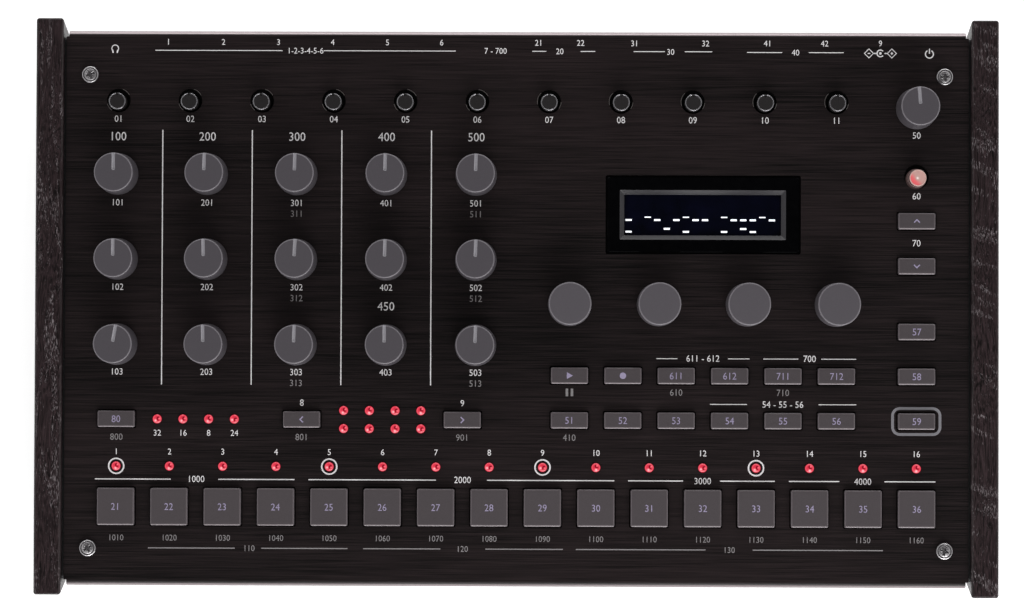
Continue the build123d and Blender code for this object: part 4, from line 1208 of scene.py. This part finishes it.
legends = {
    f"step_keys_{first + 1}_{first + 4}": [str(21 + i) for i in range(first, first + 4)]
    for first in (0, 4, 8, 12)
}
legends["transport_buttons"] = ["play", "dot", "51", "52"]
legends["pattern_buttons"] = ["611", "612", "53", "54"]
legends["kit_buttons"] = ["711", "712", "55", "56"]
legends["cursor_buttons"] = ["80", "left", "right"]
legends["side_buttons"] = ["up", "down", "57", "58", "59"]
CHEVRONS = {
    "left": [(0.5, 1.0), (-0.5, 0), (0.5, -1.0)],
    "right": [(-0.5, 1.0), (0.5, 0), (-0.5, -1.0)],
    "up": [(-1.0, -0.5), (0, 0.5), (1.0, -0.5)],
    "down": [(1.0, 0.5), (0, -0.5), (-1.0, 0.5)],
}
PLAY = np.array([(1.2, 0), (-0.9, 1.15), (-0.9, -1.15)])
for name, texts in legends.items():
    proud = KEY_PROUD if name.startswith("step") else BUTTON_PROUD
    low, high = proud - 0.06, proud + 0.012
    filled = {"play": PLAY, "dot": circle(1.1)}
    signs = []
    figures = []
    for text, (c, r) in zip(texts, banks[name]):
        if text in filled:
            sign = skin(stacked([(filled[text], low), (filled[text], high)]))
        elif text in CHEVRONS:
            sign = stroke(CHEVRONS[text], 0.42, low, high)
        else:
            figures.append((text, c * column, r * row, 2.3))
            continue
        signs.append(moved(sign, c * column, r * row))
    if figures:
        signs.append(lettering(figures, low, high))
    make_piece(name + "_legends", joined(signs), PANEL, [legend_ink], name,
               crease=20.0)

# ---------------------------------------------------------------- rear sockets

SHEET = 1.5
ROUND = 48  # points round a socket
JACK_PROUD, SYNC_PROUD = 2.6, 1.9


def rear_plane(name, proud=0.0):
    """Plane on the rear wall's outer face behind a socket's mount, which is at its mouth."""
    mouth = np.array(mounts[name]["pos_m"])
    return mouth - proud * MM * rear_normal, rear_across, rear_up, rear_normal


def squared(width, height, around=ROUND):
    """Outline of a rectangle met by rays at even angles: each ray reaches as far as the nearer side."""
    ray = even_circle(1.0, around)
    return ray / np.maximum(np.abs(ray[:, :1]) / (width / 2), np.abs(ray[:, 1:]) / (height / 2))


def hexagon(flats, around=ROUND):
    """Outline of a hexagon met by rays at even angles: half its width over the cosine to its flat."""
    angle = np.arange(around) * 2 * pi / around
    off = np.mod(angle + pi / 6, pi / 3) - pi / 6
    return even_circle(1.0, around) * (flats / 2 / np.cos(off))[:, None]


def round_socket(body, sleeve, bore, proud):
    """Jack in one closed skin: its block behind the wall, a threaded sleeve, the mouth and the bore.

    The thread is a sleeve radius that swings by a tenth of a millimetre with the rise.
    """
    thread = np.arange(-1.4, proud - 0.35, 0.14)
    width, height, depth = body
    block = squared(width, height)
    rings = [(block, -SHEET - depth), (block, -SHEET), (sleeve, -SHEET)]
    rings += [(sleeve - 0.06 + 0.06 * cos(2 * pi * rise / 0.56), rise) for rise in thread]
    rings += [
        (sleeve - 0.02, proud - 0.25), (sleeve - 0.25, proud), (bore + 0.3, proud),
        (bore, proud - 0.3), (bore, -SHEET), (bore, -depth), (0.3, -depth),
    ]
    shape = skin(stacked(rings))
    marks = np.zeros(len(rings) - 1, int)
    marks[:2] = marks[-2:] = 1  # the block and the end of the bore are plastic
    shape["marks"] = [np.repeat(marks, ROUND), 1]
    return shape


def ring_nut(outline, inner, high, soft):
    """Nut round a sleeve: its outline below, and above it the outline drawn in to a circle by the
    chamfer."""
    reach = np.hypot(*outline.T)
    drawn = outline * (np.minimum(reach, reach.min() + 0.05) / reach)[:, None]
    return skin(stacked([
        (inner, 0.0), (outline, 0.0), (outline, high - soft), (drawn * 0.985, high), (inner, high),
    ]), ends="joined")


jack = round_socket((12.6, 16.0, 24.0), 4.32, 3.25, JACK_PROUD)
jack_nut = ring_nut(hexagon(11.0), 4.1, 1.95, 0.45)
washer = skin(stacked([(4.1, 0.0), (6.3, 0.0), (6.3, 0.18), (6.2, 0.28), (4.1, 0.28)]), ends="joined")
sync_jack = round_socket((8.4, 11.0, 12.0), 2.82, 1.78, SYNC_PROUD)
knurl = even_circle(1.0) * (3.9 + 0.07 * np.cos(np.arange(ROUND) * pi))[:, None]
sync_nut = ring_nut(knurl, 2.66, 1.35, 0.2)
for number in range(1, 9):
    name = f"jack_{number}"
    plane = rear_plane(name, JACK_PROUD)
    make_piece(f"phone_{name}", jack, plane, [nickel, socket_pbt],
               replaces=["phone_jacks"] if number == 1 else [])
    make_piece(f"phone_{name}_nut", joined([jack_nut, washer]), plane, [nickel])
for number in (1, 2):
    name = f"sync_jack_{number}"
    plane = rear_plane(name, SYNC_PROUD)
    make_piece(name + "_socket", sync_jack, plane, [nickel, socket_pbt],
               replaces=["sync_jacks"] if number == 1 else [])
    make_piece(name + "_nut", sync_nut, plane, [nickel])

# round five-pin socket: a core with five contacts in a ring slot, and a nose through the wall
din = skin(stacked([
    (squared(19.6, 19.5), -SHEET - 14.0), (squared(19.6, 19.5), -SHEET), (8.1, -SHEET), (8.1, -0.1),
    (8.0, 0.0), (7.5, 0.0), (7.4, -0.12), (7.4, -9.0), (6.1, -9.0), (6.1, -0.55), (5.9, -0.4),
    (3.0, -0.4), (0.5, -0.4),
]))
din_marks = np.zeros(12, int)
din_marks[6:8] = 1  # the slot's outer wall and floor are the metal shell
din["marks"] = [np.repeat(din_marks, ROUND), 0]
contact = turned(rounded_line([
    (0.95, -0.5, 0), (0.95, -0.34, 0.04), (0.72, -0.34, 0), (0.7, -0.39, 0), (0.3, -0.39, 0),
], 2), 20)
CONTACT_RING = 4.1
contacts = [
    moved(contact, CONTACT_RING * cos(radians(angle)), -CONTACT_RING * sin(radians(angle)))
    for angle in (0, 45, 90, 135, 180)
]
for number in (1, 2):
    plane = rear_plane(f"midi_socket_{number}")
    make_piece(f"midi_socket_{number}_din", din, plane, [socket_pbt, shell_steel],
               replaces=["midi_sockets"] if number == 1 else [])
    make_piece(f"midi_socket_{number}_contacts", joined(contacts), plane, [shell_steel])


def usb_socket(shell, mouth, tongue, lift, top_corner):
    """Shell, mouth and tongue in one closed skin; the mouth's upper corners are cut where it says so."""

    def outline(size, corner, up=0.0):
        """Oblong of a size at a height."""
        return oblong(size[0], size[1], corner) + (0, up)

    opening = outline(mouth, 0.25)
    if top_corner:
        high = np.clip((opening[:, 1] - (mouth[1] / 2 - top_corner)) / top_corner, 0, 1)
        room = mouth[0] / 2 - top_corner * high
        opening[:, 0] = np.clip(opening[:, 0], -room, room)
    shape = skin(stacked([
        (outline(shell, 0.3), -shell[2]), (outline(shell, 0.3), -0.15),
        (outline((shell[0] - 0.2, shell[1] - 0.2), 0.25), 0.0), (opening * 1.03, 0.0),
        (opening, -0.12), (opening, -9.0), (outline(tongue, 0.1, lift), -9.0),
        (outline(tongue, 0.1, lift), -1.4),
        (outline((tongue[0] - 0.2, tongue[1] - 0.2), 0.1, lift), -1.2),
    ]))
    # the last three steps are the floor of the mouth and the tongue, in plastic
    shape["marks"] = [np.repeat([0, 0, 0, 0, 0, 1, 1, 1], len(opening)), 1]
    return shape


make_piece(
    "usb_b_socket_shell", usb_socket((12.0, 10.8, 16.0), (8.5, 7.8), (5.6, 3.2), 0.0, 1.6),
    rear_plane("usb_b_socket"), [shell_steel, socket_white], replaces=["usb_sockets"],
)
make_piece(
    "usb_a_socket_shell", usb_socket((13.2, 6.2, 14.0), (12.5, 5.2), (11.1, 1.9), 1.2, 0),
    rear_plane("usb_a_socket"), [shell_steel, socket_pbt],
)
dc_plane = rear_plane("dc_socket", -SHEET)
barrel = skin(stacked([
    (squared(9.0, 11.0), -SHEET - 14.0), (squared(9.0, 11.0), -SHEET), (3.2, -SHEET),
    (3.0, -SHEET - 0.2), (3.0, -SHEET - 9.0), (1.0, -SHEET - 9.0), (1.0, -SHEET - 1.6),
    (0.7, -SHEET - 1.1), (0.25, -SHEET - 1.0),
]))
barrel["marks"] = [np.repeat([0, 0, 0, 0, 0, 1, 1, 1], ROUND), 1]  # the pin is metal
make_piece("dc_socket_barrel", barrel, dc_plane, [socket_pbt, nickel], replaces=["dc_socket"])

# the power switch's button, whose place comes from its solid's corners
wall_point = np.array(mounts["jack_1"]["pos_m"]) - JACK_PROUD * MM * rear_normal
reach = (vertices_of("power_button") - wall_point) @ np.array([rear_across, rear_up]).T
middle = (reach.min(axis=0) + reach.max(axis=0)) / 2
power_point = wall_point + middle @ np.array([rear_across, rear_up])
button = skin(stacked([
    (squared(3.0, 3.0), -2 * SHEET - 7.0), (squared(3.0, 3.0), -2 * SHEET), (3.6, -2 * SHEET),
    (3.6, 2.1), (3.5, 2.42), (3.25, 2.58), (2.4, 2.5), (1.2, 2.44), (0.4, 2.42),
]))
power_plane = (power_point, rear_across, rear_up, rear_normal)
make_piece("power_button_cap", button, power_plane, [socket_pbt], "power_button",
           replaces=["power_button"])

# ---------------------------------------------------------------- feet and lower case

feet = vertices_of("rubber_feet") / MM
FOOT_HEIGHT = 3.0
foot = turned(rounded_line([
    (0.4, 0.15, 0), (4.9, 0.15, 0), (5.2, 0.0, 0.15), (6.2, 0.0, 0.4), (6.75, 1.6, 0),
    (6.95, FOOT_HEIGHT, 0), (0.4, FOOT_HEIGHT, 0),
], 4), 40)
TABLE = (np.zeros(3), np.array([1.0, 0, 0]), np.array([0, 1.0, 0]), np.array([0, 0, 1.0]))
stands = []
for hand in (-1, 1):
    for end in (-1, 1):
        ours = feet[(feet[:, 0] * hand > 0) & ((feet[:, 1] - feet[:, 1].mean()) * end > 0)]
        middle = (ours.min(axis=0) + ours.max(axis=0)) / 2
        stands.append(moved(foot, middle[0], middle[1]))
make_piece("rubber_stands", joined(stands), TABLE, [foot_rubber], replaces=["rubber_feet"])

mesh, shape = copied_mesh("lower_case", "moulded_lower_case")
lowest = min(vert.co.z for vert in shape.verts)
# the lower outer edges near the ends, which a mould rounds
edges = [
    edge for edge in shape.edges
    if len(edge.link_faces) == 2 and edge.calc_face_angle(0) > radians(50)
    and max(vert.co.z for vert in edge.verts) < lowest + 3.0 * MM
    and max(abs(edge.verts[0].co.x), abs(edge.verts[1].co.x)) > 0.15
]
bmesh.ops.bevel(
    shape, geom=edges, offset=0.6 * MM, segments=3, profile=0.5, affect="EDGES", clamp_overlap=True
)
shape.to_mesh(mesh)
shape.free()
finish_piece(mesh, [case_abs], "case", crease=30.0, replaces=["lower_case"])

# ---------------------------------------------------------------- stage, light and camera

FLOOR_HALF = 8.0
FLOOR_GLARE = 0.55  # the paper's own light, seen only by the camera and in mirrored or clear surfaces
floor_mesh = bpy.data.meshes.new("floor")
floor_corners = [(x * FLOOR_HALF, y * FLOOR_HALF, 0) for x, y in ((-1, -1), (1, -1), (1, 1), (-1, 1))]
floor_mesh.from_pydata(floor_corners, [], [(0, 1, 2, 3)])
floor = bpy.data.objects.new("floor", floor_mesh)
bpy.context.scene.collection.objects.link(floor)
floor_paper = bpy.data.materials.new("white_paper_floor")
floor_paper.use_nodes = True
tree = floor_paper.node_tree
tree.nodes.clear()
paper = add_node(tree, "BsdfDiffuse", {"Color": (0.86, 0.86, 0.86, 1.0)})
path = add_node(tree, "LightPath")
seen = path.outputs["Is Camera Ray"]
for kind in ("Is Glossy Ray", "Is Transmission Ray"):
    seen = add_node(tree, "Math", {0: seen, 1: path.outputs[kind]}, operation="MAXIMUM").outputs["Value"]
lift = add_node(tree, "Math", {0: seen, 1: FLOOR_GLARE}, operation="MULTIPLY")
glare = add_node(tree, "Emission", {"Color": (1, 1, 1, 1), "Strength": lift.outputs["Value"]})
both = add_node(tree, "AddShader", {0: paper.outputs["BSDF"], 1: glare.outputs["Emission"]})
add_node(tree, "OutputMaterial", {"Surface": both.outputs["Shader"]})
floor_mesh.materials.append(floor_paper)

world = bpy.data.worlds.new("studio")
bpy.context.scene.world = world
world.use_nodes = True
tree = world.node_tree
tree.nodes.clear()
# a white room under a ceiling that is dark overhead, where the camera hangs, and lit farther out
DARK_FROM, DARK_TO, OVERHEAD = 0.64, 0.84, 0.07  # heights of the sky's direction, and what is left there
path = add_node(tree, "LightPath")
away = add_node(tree, "SeparateXYZ", {"Vector": add_node(tree, "TexCoord").outputs["Generated"]})
dome = add_node(tree, "ValToRGB", {"Fac": away.outputs["Z"]})
ramp = dome.color_ramp
ramp.elements[0].color, ramp.elements[1].color = (0.4,) * 3 + (1.0,), (0.05,) * 3 + (1.0,)
for position, shade in ((0.25, 0.5), (0.42, 1.0), (DARK_FROM, 1.0), (DARK_TO, OVERHEAD)):
    ramp.elements.new(position).color = (shade,) * 3 + (1.0,)
level = add_node(tree, "Math", {0: dome.outputs["Color"], 1: 1.25}, operation="MULTIPLY")
mirrored = add_node(tree, "Math", {
    0: path.outputs["Is Glossy Ray"], 1: path.outputs["Is Transmission Ray"],
}, operation="MAXIMUM")
room = add_node(tree, "MapRange", {
    "Value": away.outputs["Z"], "From Min": 0.62, "From Max": DARK_TO, "To Min": 1.0, "To Max": OVERHEAD,
})
shown = add_node(tree, "Mix", {
    "Factor": mirrored.outputs["Value"], "A": level.outputs["Value"], "B": room.outputs["Result"],
}, data_type="FLOAT")
backdrop = add_node(tree, "Mix", {
    "Factor": path.outputs["Is Camera Ray"], "A": shown.outputs["Result"], "B": 1.0,
}, data_type="FLOAT")
sky = add_node(tree, "Background", {"Color": (1, 1, 1, 1), "Strength": backdrop.outputs["Result"]})
add_node(tree, "OutputWorld", {"Surface": sky.outputs["Background"]})


def add_softbox(name, place, target, width, height, radiance):
    """Rectangular lamp that faces its target; its power is pi times its area times its radiance."""
    data = bpy.data.lights.new(name, "AREA")
    data.shape, data.size, data.size_y = "RECTANGLE", width, height
    data.energy = pi * width * height * radiance
    lamp = bpy.data.objects.new(name, data)
    bpy.context.scene.collection.objects.link(lamp)
    lamp.location = place
    lamp.rotation_euler = (Vector(target) - Vector(place)).to_track_quat("-Z", "Y").to_euler()


add_softbox("front_softbox", (0.25, -1.15, 0.72), (0, 0, 0.03), 0.8, 0.35, 6.5)
add_softbox("front_strip", (0.1, -0.62, 0.2), (0, -0.05, 0.03), 0.9, 0.08, 12.0)
add_softbox("rear_softbox", (0.1, 1.2, 0.5), (0, 0.08, 0.04), 1.6, 0.35, 4.0)

CAMERA_PLACE = (7.59, 72.76, 1174.7)  # across, up and rise: nearly square over the panel
CAMERA_AIM = (-1.5, 96.67, 0.0)
ROLL = radians(0.2)
LENS_LENGTH, SENSOR_WIDTH = 121.25, 36.0
data = bpy.data.cameras.new("camera")
data.sensor_width, data.lens = SENSOR_WIDTH, LENS_LENGTH
camera = bpy.data.objects.new("camera", data)
bpy.context.scene.collection.objects.link(camera)
ahead = laid_on(PANEL, CAMERA_AIM) - laid_on(PANEL, CAMERA_PLACE)
right = np.cross(ahead, panel_up * cos(ROLL) - panel_across * sin(ROLL))
upward = np.cross(right, ahead)
axes = Matrix([axis / np.linalg.norm(axis) for axis in (right, upward, -ahead)])
pose = axes.transposed().to_4x4()
pose.translation = Vector(laid_on(PANEL, CAMERA_PLACE))
camera.matrix_world = pose
bpy.context.scene.camera = camera
bpy.context.scene.view_settings.view_transform = "Standard"
